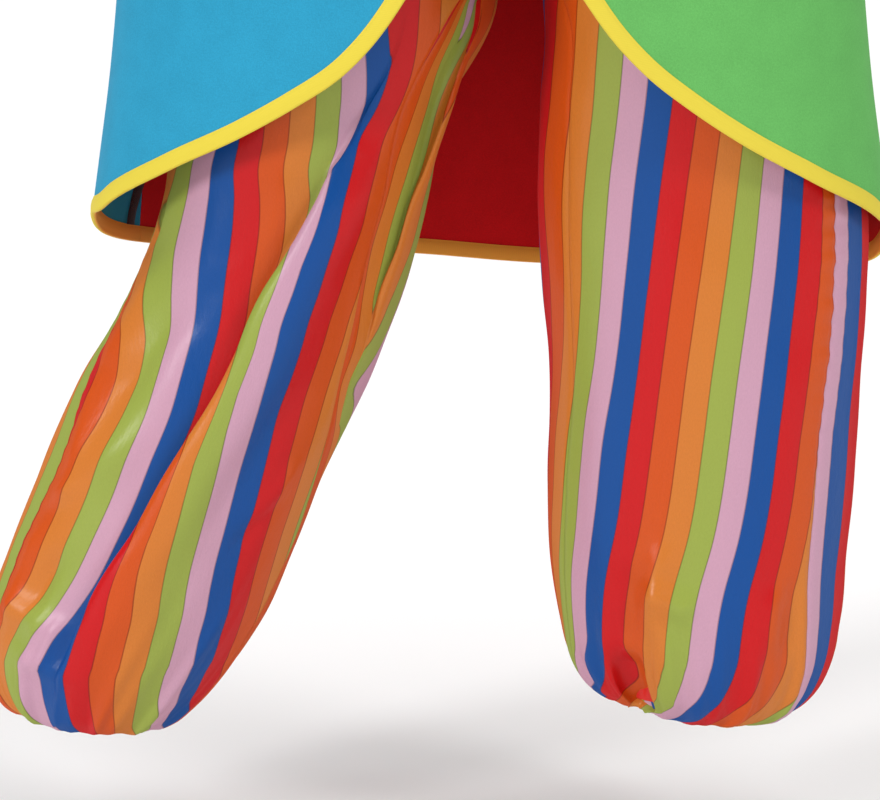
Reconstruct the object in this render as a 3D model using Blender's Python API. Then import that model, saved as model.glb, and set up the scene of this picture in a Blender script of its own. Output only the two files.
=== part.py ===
"""Clown costume as worn: a cutaway felt coat over baggy striped satin trousers.

Metres, +Z up. The wearer faces -Y and their left side is at +X. The origin lies between the
shoulders, where the wearer holds the costume up. Every cloth piece is a thin wall: its outer
face is a grid of points worked out from the tables below, and its inner face is that grid
moved in along the whole garment's normals, so neighbours stay parallel across each seam.
"""
from collections import namedtuple

import bmesh
import bpy
import numpy as np

MM = 0.001
COSTUME = "clown costume"

# Heights in every table are above the floor that the wearer stands on.
ORIGIN_HEIGHT = 1.43

FELT = 2.0 * MM  # the coat's cloth
SATIN = 1.5 * MM  # the trousers' cloth
TAPE = 1.0 * MM  # one layer of the folded binding
SEAM = 0.3 * MM  # what parts two pieces that are sewn together
BINDING_WIDTH = 12 * MM
EDGE_INSET = TAPE + 3 * SEAM  # a front panel stops short of the middle by this, where the two bindings meet

# ---------------------------------------------------------------- the coat's sizes

CoatSection = namedtuple("CoatSection", "height half_width front_depth back_depth")
COAT = (
    CoatSection(0.430, 0.324, 0.160, 0.188),
    CoatSection(0.520, 0.314, 0.160, 0.180),
    CoatSection(0.620, 0.300, 0.158, 0.168),
    CoatSection(0.740, 0.288, 0.155, 0.158),
    CoatSection(0.900, 0.270, 0.150, 0.145),
    CoatSection(1.060, 0.253, 0.140, 0.132),
    CoatSection(1.150, 0.246, 0.134, 0.130),
    CoatSection(1.182, 0.245, 0.131, 0.129),
    CoatSection(1.200, 0.250, 0.130, 0.128),
    CoatSection(1.220, 0.260, 0.128, 0.127),
    CoatSection(1.250, 0.278, 0.124, 0.126),
    CoatSection(1.300, 0.304, 0.118, 0.122),
    CoatSection(1.350, 0.316, 0.110, 0.119),
    CoatSection(1.440, 0.320, 0.092, 0.100),
    CoatSection(1.540, 0.320, 0.075, 0.085),
)

# The finished front edge, from the neck down the middle and round the cutaway to the side.
FrontEdge = namedtuple("FrontEdge", "across right_height left_height")
FRONT_EDGE = (
    FrontEdge(0.000, 1.420, 1.420),
    FrontEdge(0.000, 1.180, 1.180),
    FrontEdge(0.001, 1.000, 1.000),
    FrontEdge(0.008, 0.900, 0.900),
    FrontEdge(0.026, 0.800, 0.800),
    FrontEdge(0.050, 0.725, 0.725),
    FrontEdge(0.073, 0.684, 0.687),
    FrontEdge(0.093, 0.657, 0.660),
    FrontEdge(0.116, 0.634, 0.636),
    FrontEdge(0.150, 0.611, 0.609),
    FrontEdge(0.191, 0.587, 0.581),
    FrontEdge(0.250, 0.557, 0.547),
    FrontEdge(0.300, 0.526, 0.517),
    FrontEdge(0.315, 0.511, 0.503),
)

# The coat's hem at the back, round from the wearer's left side to the right one.
Hem = namedtuple("Hem", "turn height")
BACK_HEM = (
    Hem(90, 0.503),
    Hem(105, 0.470),
    Hem(120, 0.457),
    Hem(150, 0.448),
    Hem(172, 0.447),
    Hem(190, 0.455),
    Hem(210, 0.463),
    Hem(240, 0.476),
    Hem(255, 0.489),
    Hem(270, 0.511),
)

# The right side seam swings to the back on its way down, by this many degrees.
SeamSwing = namedtuple("SeamSwing", "height swing")
RIGHT_SEAM_SWING = (
    SeamSwing(0.430, 27),
    SeamSwing(0.560, 26),
    SeamSwing(0.700, 19),
    SeamSwing(0.900, 8),
    SeamSwing(1.060, 2),
    SeamSwing(1.200, 0),
)

SWING_START = 200  # the turn from which the back's columns give way to it
SWING_COLUMNS = 3  # the right front's columns past the side

NECK_POINT = (0.085, 1.495)  # across and height where the shoulder seam meets the neck
ARMHOLE_X = 0.250  # the armhole lies flat in the upright plane at this distance across
SHOULDER_POINT = (ARMHOLE_X, 1.418)  # across and height where the seam meets the armhole
SHOULDER_ROUND = 0.11  # how far below the shoulder seam the coat reaches its full depth
FRONT_NECK_HEIGHT = 1.42
BACK_NECK_HEIGHT = 1.487
UNDERARM_HEIGHT = 1.20

SleeveSection = namedtuple("SleeveSection", "along half_height half_depth")
SLEEVE = (
    SleeveSection(0.030, 0.108, 0.092),
    SleeveSection(0.065, 0.104, 0.089),
    SleeveSection(0.100, 0.099, 0.086),
    SleeveSection(0.140, 0.094, 0.083),
    SleeveSection(0.200, 0.085, 0.079),
    SleeveSection(0.280, 0.080, 0.076),
    SleeveSection(0.360, 0.076, 0.073),
    SleeveSection(0.440, 0.073, 0.070),
    SleeveSection(0.500, 0.071, 0.068),
)
SLEEVE_LEAD = 0.030  # it leaves the armhole level for this far
SLEEVE_BEND_RADIUS = 0.15
SLEEVE_BEND = np.radians(58)  # how far the sleeve turns down from level
SLEEVE_BLEND = 0.14  # how far down the sleeve the armhole's own outline dies away

COAT_ROWS = 11
ROW_CROWDING = 1.6  # draws the rows together towards the shoulders
SHOULDER_COLUMNS = 6
ARMHOLE_COLUMNS = 15
RIM_STRETCH = 2.5  # the most that a wall's end is stretched to lie in the armhole's plane
FRONT_COLUMNS = SHOULDER_COLUMNS + ARMHOLE_COLUMNS - 1
BACK_COLUMNS = 2 * FRONT_COLUMNS + 7
BACK_SPREAD = (148, 163)  # the turns at the hem below the shoulder point and the neck point
BACK_LAG = 5  # keeps the back's columns clear of the armhole's notch
NORMAL_TURN = 0.05  # degrees, and
NORMAL_RISE = 0.2 * MM  # the small steps that give the coat's normals

# ---------------------------------------------------------------- the trousers' sizes

# Each section runs from the outseam (out) to the inseam (in). Above the crotch it is cut off
# where it crosses the middle seam, so the rise and the crotch form by themselves.
LegSection = namedtuple("LegSection", "out_x out_height in_x in_height half_depth gather")
LEFT_LEG = (
    LegSection(0.165, 1.060, -0.165, 1.060, 0.115, 1.0),
    LegSection(0.182, 1.040, -0.172, 1.040, 0.120, 4.0),
    LegSection(0.207, 1.000, -0.165, 1.000, 0.124, 3.5),
    LegSection(0.238, 0.920, -0.130, 0.920, 0.124, 1.5),
    LegSection(0.255, 0.840, -0.075, 0.840, 0.120, 0.0),
    LegSection(0.263, 0.790, -0.030, 0.790, 0.116, 0.0),
    LegSection(0.265, 0.765, -0.003, 0.765, 0.114, 0.0),
    LegSection(0.267, 0.750, 0.018, 0.750, 0.112, 0.0),
    LegSection(0.270, 0.725, 0.030, 0.725, 0.109, 0.0),
    LegSection(0.276, 0.665, 0.040, 0.665, 0.104, 0.0),
    LegSection(0.286, 0.600, 0.037, 0.600, 0.101, 0.0),
    LegSection(0.300, 0.530, 0.036, 0.530, 0.099, 0.0),
    LegSection(0.300, 0.450, 0.042, 0.450, 0.098, 0.0),
    LegSection(0.296, 0.377, 0.048, 0.377, 0.097, 0.0),
    LegSection(0.292, 0.300, 0.046, 0.300, 0.096, 0.0),
    LegSection(0.286, 0.235, 0.048, 0.235, 0.096, 0.5),
    LegSection(0.283, 0.185, 0.055, 0.185, 0.095, 1.5),
    LegSection(0.277, 0.150, 0.062, 0.157, 0.092, 3.0),
    LegSection(0.263, 0.123, 0.074, 0.138, 0.085, 4.5),
    LegSection(0.243, 0.107, 0.087, 0.126, 0.075, 5.0),
    LegSection(0.222, 0.103, 0.095, 0.121, 0.067, 4.0),
    LegSection(0.206, 0.108, 0.098, 0.122, 0.061, 2.5),
    LegSection(0.198, 0.120, 0.098, 0.129, 0.058, 1.0),
)
RIGHT_LEG = (
    LegSection(-0.165, 1.060, 0.165, 1.060, 0.115, 1.0),
    LegSection(-0.182, 1.040, 0.172, 1.040, 0.120, 4.0),
    LegSection(-0.205, 1.000, 0.165, 1.000, 0.124, 3.5),
    LegSection(-0.232, 0.920, 0.130, 0.920, 0.124, 1.5),
    LegSection(-0.246, 0.840, 0.085, 0.840, 0.120, 0.0),
    LegSection(-0.252, 0.790, 0.050, 0.790, 0.116, 0.0),
    LegSection(-0.254, 0.765, 0.031, 0.765, 0.114, 0.0),
    LegSection(-0.255, 0.750, 0.018, 0.750, 0.112, 0.0),
    LegSection(-0.256, 0.725, 0.012, 0.725, 0.109, 0.0),
    LegSection(-0.257, 0.665, 0.004, 0.665, 0.104, 0.0),
    LegSection(-0.257, 0.600, -0.030, 0.600, 0.101, 0.0),
    LegSection(-0.259, 0.530, -0.048, 0.530, 0.099, 0.0),
    LegSection(-0.287, 0.450, -0.069, 0.450, 0.098, 0.0),
    LegSection(-0.329, 0.377, -0.097, 0.377, 0.097, 0.0),
    LegSection(-0.362, 0.300, -0.133, 0.300, 0.096, 0.0),
    LegSection(-0.389, 0.235, -0.159, 0.235, 0.096, 0.5),
    LegSection(-0.405, 0.185, -0.184, 0.180, 0.095, 1.5),
    LegSection(-0.407, 0.152, -0.209, 0.142, 0.090, 3.0),
    LegSection(-0.400, 0.129, -0.233, 0.117, 0.082, 4.5),
    LegSection(-0.389, 0.114, -0.254, 0.101, 0.073, 5.0),
    LegSection(-0.381, 0.110, -0.265, 0.097, 0.066, 4.0),
    LegSection(-0.376, 0.114, -0.271, 0.101, 0.061, 2.5),
    LegSection(-0.373, 0.125, -0.273, 0.112, 0.058, 1.0),
)
# How far the seams are turned to the front of a leg's section, in degrees: the front panels are
# the narrower ones.
SeamTurn = namedtuple("SeamTurn", "height outseam inseam")
LEFT_SEAMS = (
    SeamTurn(0.090, 36, 20),
    SeamTurn(0.146, 43, 20),
    SeamTurn(0.194, 45, 22),
    SeamTurn(0.267, 45, 26),
    SeamTurn(0.338, 45, 28),
    SeamTurn(0.410, 42, 31),
    SeamTurn(0.529, 40, 34),
    SeamTurn(0.600, 36, 34),
    SeamTurn(0.680, 30, 30),
    SeamTurn(0.750, 24, 0),
    SeamTurn(0.850, 12, 0),
    SeamTurn(1.060, 0, 0),
)
RIGHT_SEAMS = (
    SeamTurn(0.090, 22, 25),
    SeamTurn(0.152, 22, 24),
    SeamTurn(0.210, 24, 18),
    SeamTurn(0.260, 24, 14),
    SeamTurn(0.290, 26, 17),
    SeamTurn(0.330, 27, 26),
    SeamTurn(0.378, 26, 37),
    SeamTurn(0.425, 17, 44),
    SeamTurn(0.470, 5, 49),
    SeamTurn(0.534, 0, 50),
    SeamTurn(0.605, 0, 49),
    SeamTurn(0.680, 0, 42),
    SeamTurn(0.750, 0, 0),
    SeamTurn(1.060, 0, 0),
)
CROTCH_HEIGHT = 0.750
CROTCH_X = 0.018  # the middle seam leans this far to the wearer's left at the crotch
WAIST_HEIGHT = 1.060
STEPS_PER_PANEL = 20  # columns from the outseam to the inseam
STEPS_PER_GATHER = 4
GATHER_SWAY = 0.2  # the share of a gather's depth that comes and goes across a panel, and
SWAYS_PER_PANEL = 3  # how often it does

# The long drag fold down the right leg's front, where the cloth laps over itself. Its valley
# keeps to the panel's middle column, and place is how far across the leg that lies.
FOLD_COLUMN = 10
FOLD_FLANK = 0.035  # the turn that the fold's steep flank takes up, in radians
FoldSide = namedtuple("FoldSide", "share centre spread")  # a share of the lift, and radians
FOLD_VALLEY = FoldSide(-0.30, 0.0, 0.30)
FOLD_CREST = FoldSide(0.75, 0.12, 0.25)
DragFold = namedtuple("DragFold", "height place lift")
DRAG_FOLD = (
    DragFold(0.090, 0.50, 0.000),
    DragFold(0.125, 0.34, 0.002),
    DragFold(0.155, 0.30, 0.010),
    DragFold(0.200, 0.36, 0.015),
    DragFold(0.270, 0.42, 0.018),
    DragFold(0.350, 0.45, 0.020),
    DragFold(0.430, 0.51, 0.022),
    DragFold(0.500, 0.55, 0.020),
    DragFold(0.560, 0.64, 0.012),
    DragFold(0.620, 0.66, 0.004),
    DragFold(0.700, 0.60, 0.000),
    DragFold(1.100, 0.50, 0.000),
)

WAIST_CASING_HEIGHT = 0.032
ANKLE_CASING_HEIGHT = 0.014
CASING_WALL = 3.5 * MM
CASING_INSET = 1.5 * MM  # how far an ankle casing's wall reaches inside the leg's last section
CASING_STEPS = 40

# ---------------------------------------------------------------- smooth curves through tables


def smooth(knots, values, at):
    """A cubic curve through the values at the knots, read at one or more places."""
    knots, values, at = (np.asarray(part, float) for part in (knots, values, at))
    slopes = np.gradient(values, knots)
    left = np.clip(np.searchsorted(knots, at, side="right") - 1, 0, len(knots) - 2)
    width = knots[left + 1] - knots[left]
    part = np.clip((at - knots[left]) / width, 0, 1)
    start = (1 + 2 * part) * (1 - part) ** 2 * values[left] + part * (1 - part) ** 2 * width * slopes[left]
    end = part**2 * (3 - 2 * part) * values[left + 1] - part**2 * (1 - part) * width * slopes[left + 1]
    return start + end


def column(table, name, height):
    """A named column of a table whose rows are sorted by height."""
    return smooth([row.height for row in table], [getattr(row, name) for row in table], height)


def evenly(rows, count):
    """count points spaced evenly along a smooth curve through the rows."""
    rows = np.asarray(rows, float)
    reach = np.concatenate([[0], np.cumsum(np.linalg.norm(np.diff(rows, axis=0), axis=1))])
    at = np.linspace(0, reach[-1], count)
    return np.stack([smooth(reach, part, at) for part in rows.T], axis=1)


def unit(vectors):
    return vectors / np.linalg.norm(vectors, axis=-1, keepdims=True)


def face_normals(grid, closed=False):
    """Normals at a grid's points, from the differences between their neighbours."""
    down = np.gradient(grid, axis=0)
    if closed:
        across = np.roll(grid, -1, axis=1) - np.roll(grid, 1, axis=1)
    else:
        across = np.gradient(grid, axis=1)
    return unit(np.cross(across, down))


# ---------------------------------------------------------------- solids


def cells(numbers):
    """Triangles over a grid of point numbers, every cell split along the same diagonal."""
    a, b, c, d = numbers[:-1, :-1], numbers[:-1, 1:], numbers[1:, 1:], numbers[1:, :-1]
    halves = (np.stack([a, b, c], axis=-1), np.stack([a, c, d], axis=-1))
    return np.concatenate([half.reshape(-1, 3) for half in halves])


def cloth(name, outer, inner, material, closed=False):
    """One closed wall between two grids of points, lowered so that the origin is at the shoulders."""
    count = outer.shape[0] * outer.shape[1]
    front = np.arange(count).reshape(outer.shape[:2])
    if closed:
        front = np.column_stack([front, front[:, 0]])
    back = front + count
    skins = [cells(front), cells(back)]
    rims = [(front[0], back[0]), (front[-1], back[-1])]
    if not closed:
        rims += [(front[:, 0], back[:, 0]), (front[:, -1], back[:, -1])]
    skins += [cells(np.stack(rim)) for rim in rims]
    points = np.concatenate([outer.reshape(-1, 3), inner.reshape(-1, 3)])
    points = points - (0, 0, ORIGIN_HEIGHT)
    mesh = bpy.data.meshes.new(name)
    mesh.from_pydata(points.tolist(), [], np.concatenate(skins).tolist())
    shape = bmesh.new()
    shape.from_mesh(mesh)
    bmesh.ops.recalc_face_normals(shape, faces=shape.faces)
    shape.to_mesh(mesh)
    shape.free()
    mesh.shade_smooth()
    mesh.set_sharp_from_angle(angle=np.radians(50))
    mesh.materials.append(material)
    piece = bpy.data.objects.new(name, mesh)
    bpy.data.collections[COSTUME].objects.link(piece)
    return piece


# ---------------------------------------------------------------- the coat


def coat_points(flat):
    """The coat's outer face at (turn, height): turn is 0 at centre front, 180 at centre back."""
    turn, height = np.radians(flat[..., 0]), flat[..., 1]
    x = column(COAT, "half_width", height) * np.sin(turn)
    front = column(COAT, "front_depth", height)
    back = column(COAT, "back_depth", height)
    depth = -np.cos(turn) * np.where(np.cos(turn) > 0, front, back)
    (neck_x, neck_z), (shoulder_x, shoulder_z) = NECK_POINT, SHOULDER_POINT
    slope = (neck_z - shoulder_z) / (shoulder_x - neck_x)
    below_seam = neck_z - slope * (np.abs(x) - neck_x) - height
    full = np.clip(below_seam / SHOULDER_ROUND, 0, 1)
    return np.stack([x, depth * np.sqrt(1 - (1 - full) ** 2), height], axis=-1)


def turn_of(across, height):
    """The turn at which the coat's front reaches a distance across."""
    return np.degrees(np.arcsin(np.clip(across / column(COAT, "half_width", height), -1, 1)))


def row_shares():
    """How far each row lies from the start border to the end one, from 0 to 1."""
    return 1 - (1 - np.linspace(0, 1, COAT_ROWS)) ** ROW_CROWDING


def filled(start, end, left, right, lag=1):
    """(turn, height) points inside four borders: start and end run the same way, left and right
    join them. With a lag above 1 the turns leave those of the end sooner than the heights do."""
    u = np.linspace(0, 1, len(start))[None, :, None]
    v = row_shares()[:, None, None] ** np.array([lag, 1])
    ruled = (1 - v) * start[None] + v * end[None] + (1 - u) * left[:, None] + u * right[:, None]
    corners = (1 - v) * ((1 - u) * start[0] + u * start[-1]) + v * ((1 - u) * end[0] + u * end[-1])
    return ruled - corners


def side_seam_turn(side, height):
    """The turn of a side seam, counted from centre front towards that side."""
    height = np.asarray(height, float)
    return 90 + (np.maximum(column(RIGHT_SEAM_SWING, "swing", height), 0) if side < 0 else 0 * height)


def seam_gap(turn, height):
    """Half of the seam's gap, as a turn."""
    flat = np.stack([turn, height], axis=-1)
    step = coat_points(flat + (1, 0)) - coat_points(flat)
    return SEAM / 2 / np.linalg.norm(step, axis=-1)


def hem_height(turn):
    """The height of the back's hem at a turn."""
    return smooth([row.turn for row in BACK_HEM], [row.height for row in BACK_HEM], turn)


def right_seam_foot():
    """The lower end of the right side seam, as (turn, height)."""
    turn = side_seam_turn(-1, hem_height(270))
    return float(turn), float(hem_height(360 - turn))


def lower_edge(side):
    """A front's whole lower edge from the neck to its side seam, as (turn, height)."""
    heights = [row.right_height if side < 0 else row.left_height for row in FRONT_EDGE]
    count = FRONT_COLUMNS - (SWING_COLUMNS if side < 0 else 0)
    edge = evenly(list(zip([row.across for row in FRONT_EDGE], heights)), count)
    edge[:, 0] = turn_of(np.maximum(edge[:, 0], EDGE_INSET), edge[:, 1])
    edge[-1, 0] = 90
    if side > 0:
        return edge
    foot = right_seam_foot()
    turns = np.linspace(90, foot[0], SWING_COLUMNS + 1)[1:]
    beyond = np.stack([turns, hem_height(360 - turns)], axis=1)
    return np.concatenate([edge, beyond])


def swung_back(flat):
    """The back's (turn, height) points once the right side seam has swung over to the back."""
    share = np.clip((flat[..., 0] - SWING_START) / (270 - SWING_START), 0, 1)
    swing = side_seam_turn(-1, flat[..., 1]) - 90
    return np.stack([flat[..., 0] - swing * share, flat[..., 1]], axis=-1)


def shoulder_seam(count):
    """The shoulder seam from the neck to the armhole, as (turn, height)."""
    across = np.linspace(NECK_POINT[0], SHOULDER_POINT[0], count)
    height = np.linspace(NECK_POINT[1], SHOULDER_POINT[1], count)
    return np.stack([turn_of(across, height), height], axis=1)


def front_armhole():
    """The armhole's front half from the shoulder to the side seam, as (turn, height)."""
    swing = np.cos(np.linspace(0, np.pi, ARMHOLE_COLUMNS))
    top, bottom = SHOULDER_POINT[1], UNDERARM_HEIGHT
    height = (top + bottom) / 2 + (top - bottom) / 2 * swing
    return np.stack([turn_of(ARMHOLE_X, height), height], axis=1)


def set_armhole(outer, normals, side):
    """Brings a panel's armhole points, and the wall's thickness there, into the armhole's plane."""
    outer[:, 0] = side * ARMHOLE_X
    normals[:, 0] = 0
    length = np.linalg.norm(normals, axis=1, keepdims=True)
    normals /= length * np.maximum(length, 1 / RIM_STRETCH)


def with_binding_row(flat):
    """The (turn, height) grid with a row BINDING_WIDTH in from its first row, along the columns."""
    rows = coat_points(flat[:2])
    inward = rows[1] - rows[0]
    reach = np.linalg.norm(inward, axis=1, keepdims=True)
    edge = unit(np.gradient(rows[0], axis=0))
    slant = np.linalg.norm(np.cross(inward / reach, edge), axis=1, keepdims=True)
    share = BINDING_WIDTH / (slant * reach)
    return np.insert(flat, 1, flat[0] + share * (flat[1] - flat[0]), axis=0)


def coat_normals(flat):
    """Normals of the coat's outer face at (turn, height)."""
    around = coat_points(flat + (NORMAL_TURN, 0)) - coat_points(flat - (NORMAL_TURN, 0))
    up = coat_points(flat + (0, NORMAL_RISE)) - coat_points(flat - (0, NORMAL_RISE))
    return unit(np.cross(around, up))


def binding(name, outer, inner, normals, material):
    """A tape folded over a panel's first row, from the panel's own first two rows."""
    outward = unit(outer[0] - outer[1])
    edge = unit(np.gradient(outer[0], axis=0))
    slant = np.linalg.norm(np.cross(outward, edge), axis=1, keepdims=True)

    def fold(clear):
        past = outward * clear / slant
        return np.stack([
            outer[1] + normals[1] * clear,
            outer[0] + normals[0] * clear + past,
            inner[0] - normals[0] * clear + past,
            inner[1] - normals[1] * clear,
        ])

    return cloth(name, fold(SEAM + TAPE), fold(SEAM), material)


def turned(side):
    """Mirrors a piece worked out at +X to the wearer's right, at -X."""
    return np.array([side, 1, 1])


def coat_front(side):
    """Outer face and normals of one front. side is -1 for the wearer's right, 1 for the left."""
    edge = lower_edge(side)
    top = np.concatenate([shoulder_seam(SHOULDER_COLUMNS)[:-1], front_armhole()])
    bend = row_shares() * np.pi / 2
    rise = FRONT_NECK_HEIGHT + (NECK_POINT[1] - FRONT_NECK_HEIGHT) * (1 - np.cos(bend))
    across = EDGE_INSET + (NECK_POINT[0] - EDGE_INSET) * np.sin(bend)
    neck = np.stack([turn_of(across, rise), rise], axis=1)
    seam_heights = edge[-1, 1] + (UNDERARM_HEIGHT - edge[-1, 1]) * row_shares()
    side_seam = np.stack([side_seam_turn(side, seam_heights), seam_heights], axis=1)
    side_seam[0] = edge[-1]
    flat = with_binding_row(filled(edge, top, neck, side_seam))
    normals = coat_normals(flat)
    flat[:, -1, 0] -= seam_gap(flat[:, -1, 0], flat[:, -1, 1])
    outer = coat_points(flat)
    outer[-1, :SHOULDER_COLUMNS, 1] = -SEAM / 2
    outer[-1, -1, 1] = -SEAM / 2
    normals[-1, -1, 1] = 0
    normals[-1, :SHOULDER_COLUMNS, 1] = 0
    normals = unit(normals)
    set_armhole(outer[-1, SHOULDER_COLUMNS - 1:], normals[-1, SHOULDER_COLUMNS - 1:], 1)
    return outer * turned(side), normals * turned(side)


def coat_back():
    """Outer face and normals of the back, from the left side seam round to the right one."""
    shoulder, neck = ARMHOLE_COLUMNS - 1, ARMHOLE_COLUMNS + SHOULDER_COLUMNS - 2
    last = BACK_COLUMNS - 1
    turns = np.interp(
        np.arange(BACK_COLUMNS),
        (0, shoulder, neck, last - neck, last - shoulder, last),
        (90, BACK_SPREAD[0], BACK_SPREAD[1], 360 - BACK_SPREAD[1], 360 - BACK_SPREAD[0], 270),
    )
    level = np.full(BACK_COLUMNS, right_seam_foot()[1])
    hem = np.stack([turns, hem_height(swung_back(np.stack([turns, level], axis=1))[:, 0])], axis=1)
    half = [front_armhole()[::-1], shoulder_seam(SHOULDER_COLUMNS)[-2::-1]]
    left_top = np.concatenate(half) * (-1, 1) + (180, 0)
    right_top = (np.array([360, 0]) + left_top * (-1, 1))[::-1]
    bend = np.linspace(-np.pi / 2, np.pi / 2, BACK_COLUMNS + 2 - 2 * len(left_top))[1:-1]
    dip = NECK_POINT[1] + (BACK_NECK_HEIGHT - NECK_POINT[1]) * np.cos(bend)
    neckline = np.stack([180 + turn_of(NECK_POINT[0] * np.sin(bend), dip), dip], axis=1)
    top = np.concatenate([left_top, neckline, right_top])
    seams = []
    for end in (0, -1):
        heights = hem[end, 1] + (UNDERARM_HEIGHT - hem[end, 1]) * row_shares()
        seams.append(np.stack([np.full(COAT_ROWS, hem[end, 0]), heights], axis=1))
    flat = swung_back(filled(hem, top, *seams, lag=BACK_LAG))
    foot = right_seam_foot()
    flat[0, -1] = (360 - foot[0], foot[1])
    flat = with_binding_row(flat)
    normals = coat_normals(flat)
    for end, way in ((0, 1), (-1, -1)):
        flat[:, end, 0] += way * seam_gap(flat[:, end, 0], flat[:, end, 1])
    outer = coat_points(flat)
    shoulders = slice(len(front_armhole()) - 1, len(left_top))
    for edge in (outer[-1, :1], outer[-1, -1:], outer[-1, shoulders], outer[-1, ::-1][shoulders]):
        edge[:, 1] = SEAM / 2
    for edge in (normals[-1, :1], normals[-1, -1:], normals[-1, shoulders], normals[-1, ::-1][shoulders]):
        edge[:, 1] = 0
    normals = unit(normals)
    for side, columns in ((1, slice(0, ARMHOLE_COLUMNS)), (-1, slice(-ARMHOLE_COLUMNS, None))):
        set_armhole(outer[-1, columns], normals[-1, columns], side)
    return outer, normals


def sleeve(side, front, front_normals, back, back_normals):
    """Outer face and normals of a sleeve, from the armhole of the two panels to the cuff."""
    ahead = slice(-ARMHOLE_COLUMNS, None)
    behind = slice(1, ARMHOLE_COLUMNS - 1) if side > 0 else slice(-2, -ARMHOLE_COLUMNS, -1)
    loop = np.concatenate([front[-1, ahead], back[-1, behind]]) * turned(side)
    rim = np.concatenate([front_normals[-1, ahead], back_normals[-1, behind]]) * turned(side)
    loop[[0, ARMHOLE_COLUMNS - 1], 1] = 0
    middle = (loop.max(axis=0) + loop.min(axis=0)) / 2
    local = loop - middle
    angle = np.arctan2(local[:, 1], local[:, 2])
    rings = [loop + (SEAM, 0, 0)]
    for row in SLEEVE:
        curved = max(row.along - SLEEVE_LEAD, 0)
        bend = min(curved / SLEEVE_BEND_RADIUS, SLEEVE_BEND)
        straight = max(curved - SLEEVE_BEND * SLEEVE_BEND_RADIUS, 0)
        path = np.array([np.cos(bend), 0, -np.sin(bend)])
        up = np.array([np.sin(bend), 0, np.cos(bend)])
        arc = SLEEVE_BEND_RADIUS * np.array([np.sin(bend), 0, np.cos(bend) - 1])
        centre = middle + (min(row.along, SLEEVE_LEAD), 0, 0) + arc + path * straight
        kept = max(1 - row.along / SLEEVE_BLEND, 0)
        height = kept * local[:, 2] + (1 - kept) * row.half_height * np.cos(angle)
        ring = centre + height[:, None] * up
        ring[:, 1] += kept * local[:, 1] + (1 - kept) * row.half_depth * np.sin(angle)
        rings.append(ring)
    outer = np.stack(rings)
    normals = face_normals(outer, closed=True)
    normals[0] = rim
    return outer * turned(side), normals * turned(side)


# ---------------------------------------------------------------- the trousers


def middle_seam(height):
    """Where the middle seam lies across the body: it leans to one side at the crotch."""
    down = np.clip((WAIST_HEIGHT - height) / (WAIST_HEIGHT - CROTCH_HEIGHT), 0, 1)
    return CROTCH_X * down**2 * (3 - 2 * down)


def fold_lift(past):
    """How far the drag fold lifts the cloth at a turn past the fold's valley."""
    sides = (FOLD_VALLEY, FOLD_CREST)
    valley, crest = (side.share * np.exp(-(((past - side.centre) / side.spread) ** 2)) for side in sides)
    return np.where(past <= 0, valley, crest)


def leg_ring(row, side, seams, fold):
    """One section of a leg: its front and back halves from the outseam to the inseam or middle."""
    out = np.array([row.out_x, 0, row.out_height])
    inner = np.array([row.in_x, 0, row.in_height])
    centre, reach = (out + inner) / 2, (out - inner) / 2
    width = np.linalg.norm(reach)
    middle = middle_seam(row.in_height)
    last = np.pi
    if row.in_height > CROTCH_HEIGHT:
        last = np.arccos(np.clip((middle - centre[0]) / reach[0], -1, 1))
    valley = np.arccos(1 - 2 * fold.place)
    steps = np.arange(STEPS_PER_PANEL + 1)
    halves = []
    for face in (-1, 1):
        ends = np.array([-face * np.radians(seams.outseam), last + face * np.radians(seams.inseam)])
        half_gap = SEAM / 2 / np.hypot(width * np.sin(ends), row.half_depth * np.cos(ends))
        start, end = ends + half_gap * (1, -1)
        turn = np.linspace(start, end, len(steps))
        if face < 0 and fold.lift > 0:
            columns = (0, FOLD_COLUMN, FOLD_COLUMN + 1, STEPS_PER_PANEL)
            turn = np.interp(steps, columns, (start, valley, valley + FOLD_FLANK, end))
        around = turn if face < 0 else 2 * np.pi - turn
        sway = 1 - GATHER_SWAY + GATHER_SWAY * np.cos(2 * np.pi * SWAYS_PER_PANEL * steps / STEPS_PER_PANEL)
        gather = row.gather * MM * np.cos(2 * np.pi * steps / STEPS_PER_GATHER) * sway
        swell = gather + fold.lift * fold_lift(around - valley)
        points = centre + np.outer(np.cos(turn) * (1 + swell / width), reach)
        points[:, 1] = face * (row.half_depth + swell) * np.sin(turn)
        if row.in_height >= CROTCH_HEIGHT:
            points[-1, 0] = middle + side * SEAM / 2
        halves.append(points)
    return halves


def ankle_rise(side):
    """The way up through the ankle's opening, square to the leg's last section."""
    last = (RIGHT_LEG if side < 0 else LEFT_LEG)[-1]
    across = np.array([last.out_x - last.in_x, 0, last.out_height - last.in_height]) * side
    return unit(np.cross(across, (0, 1, 0)))


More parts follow.
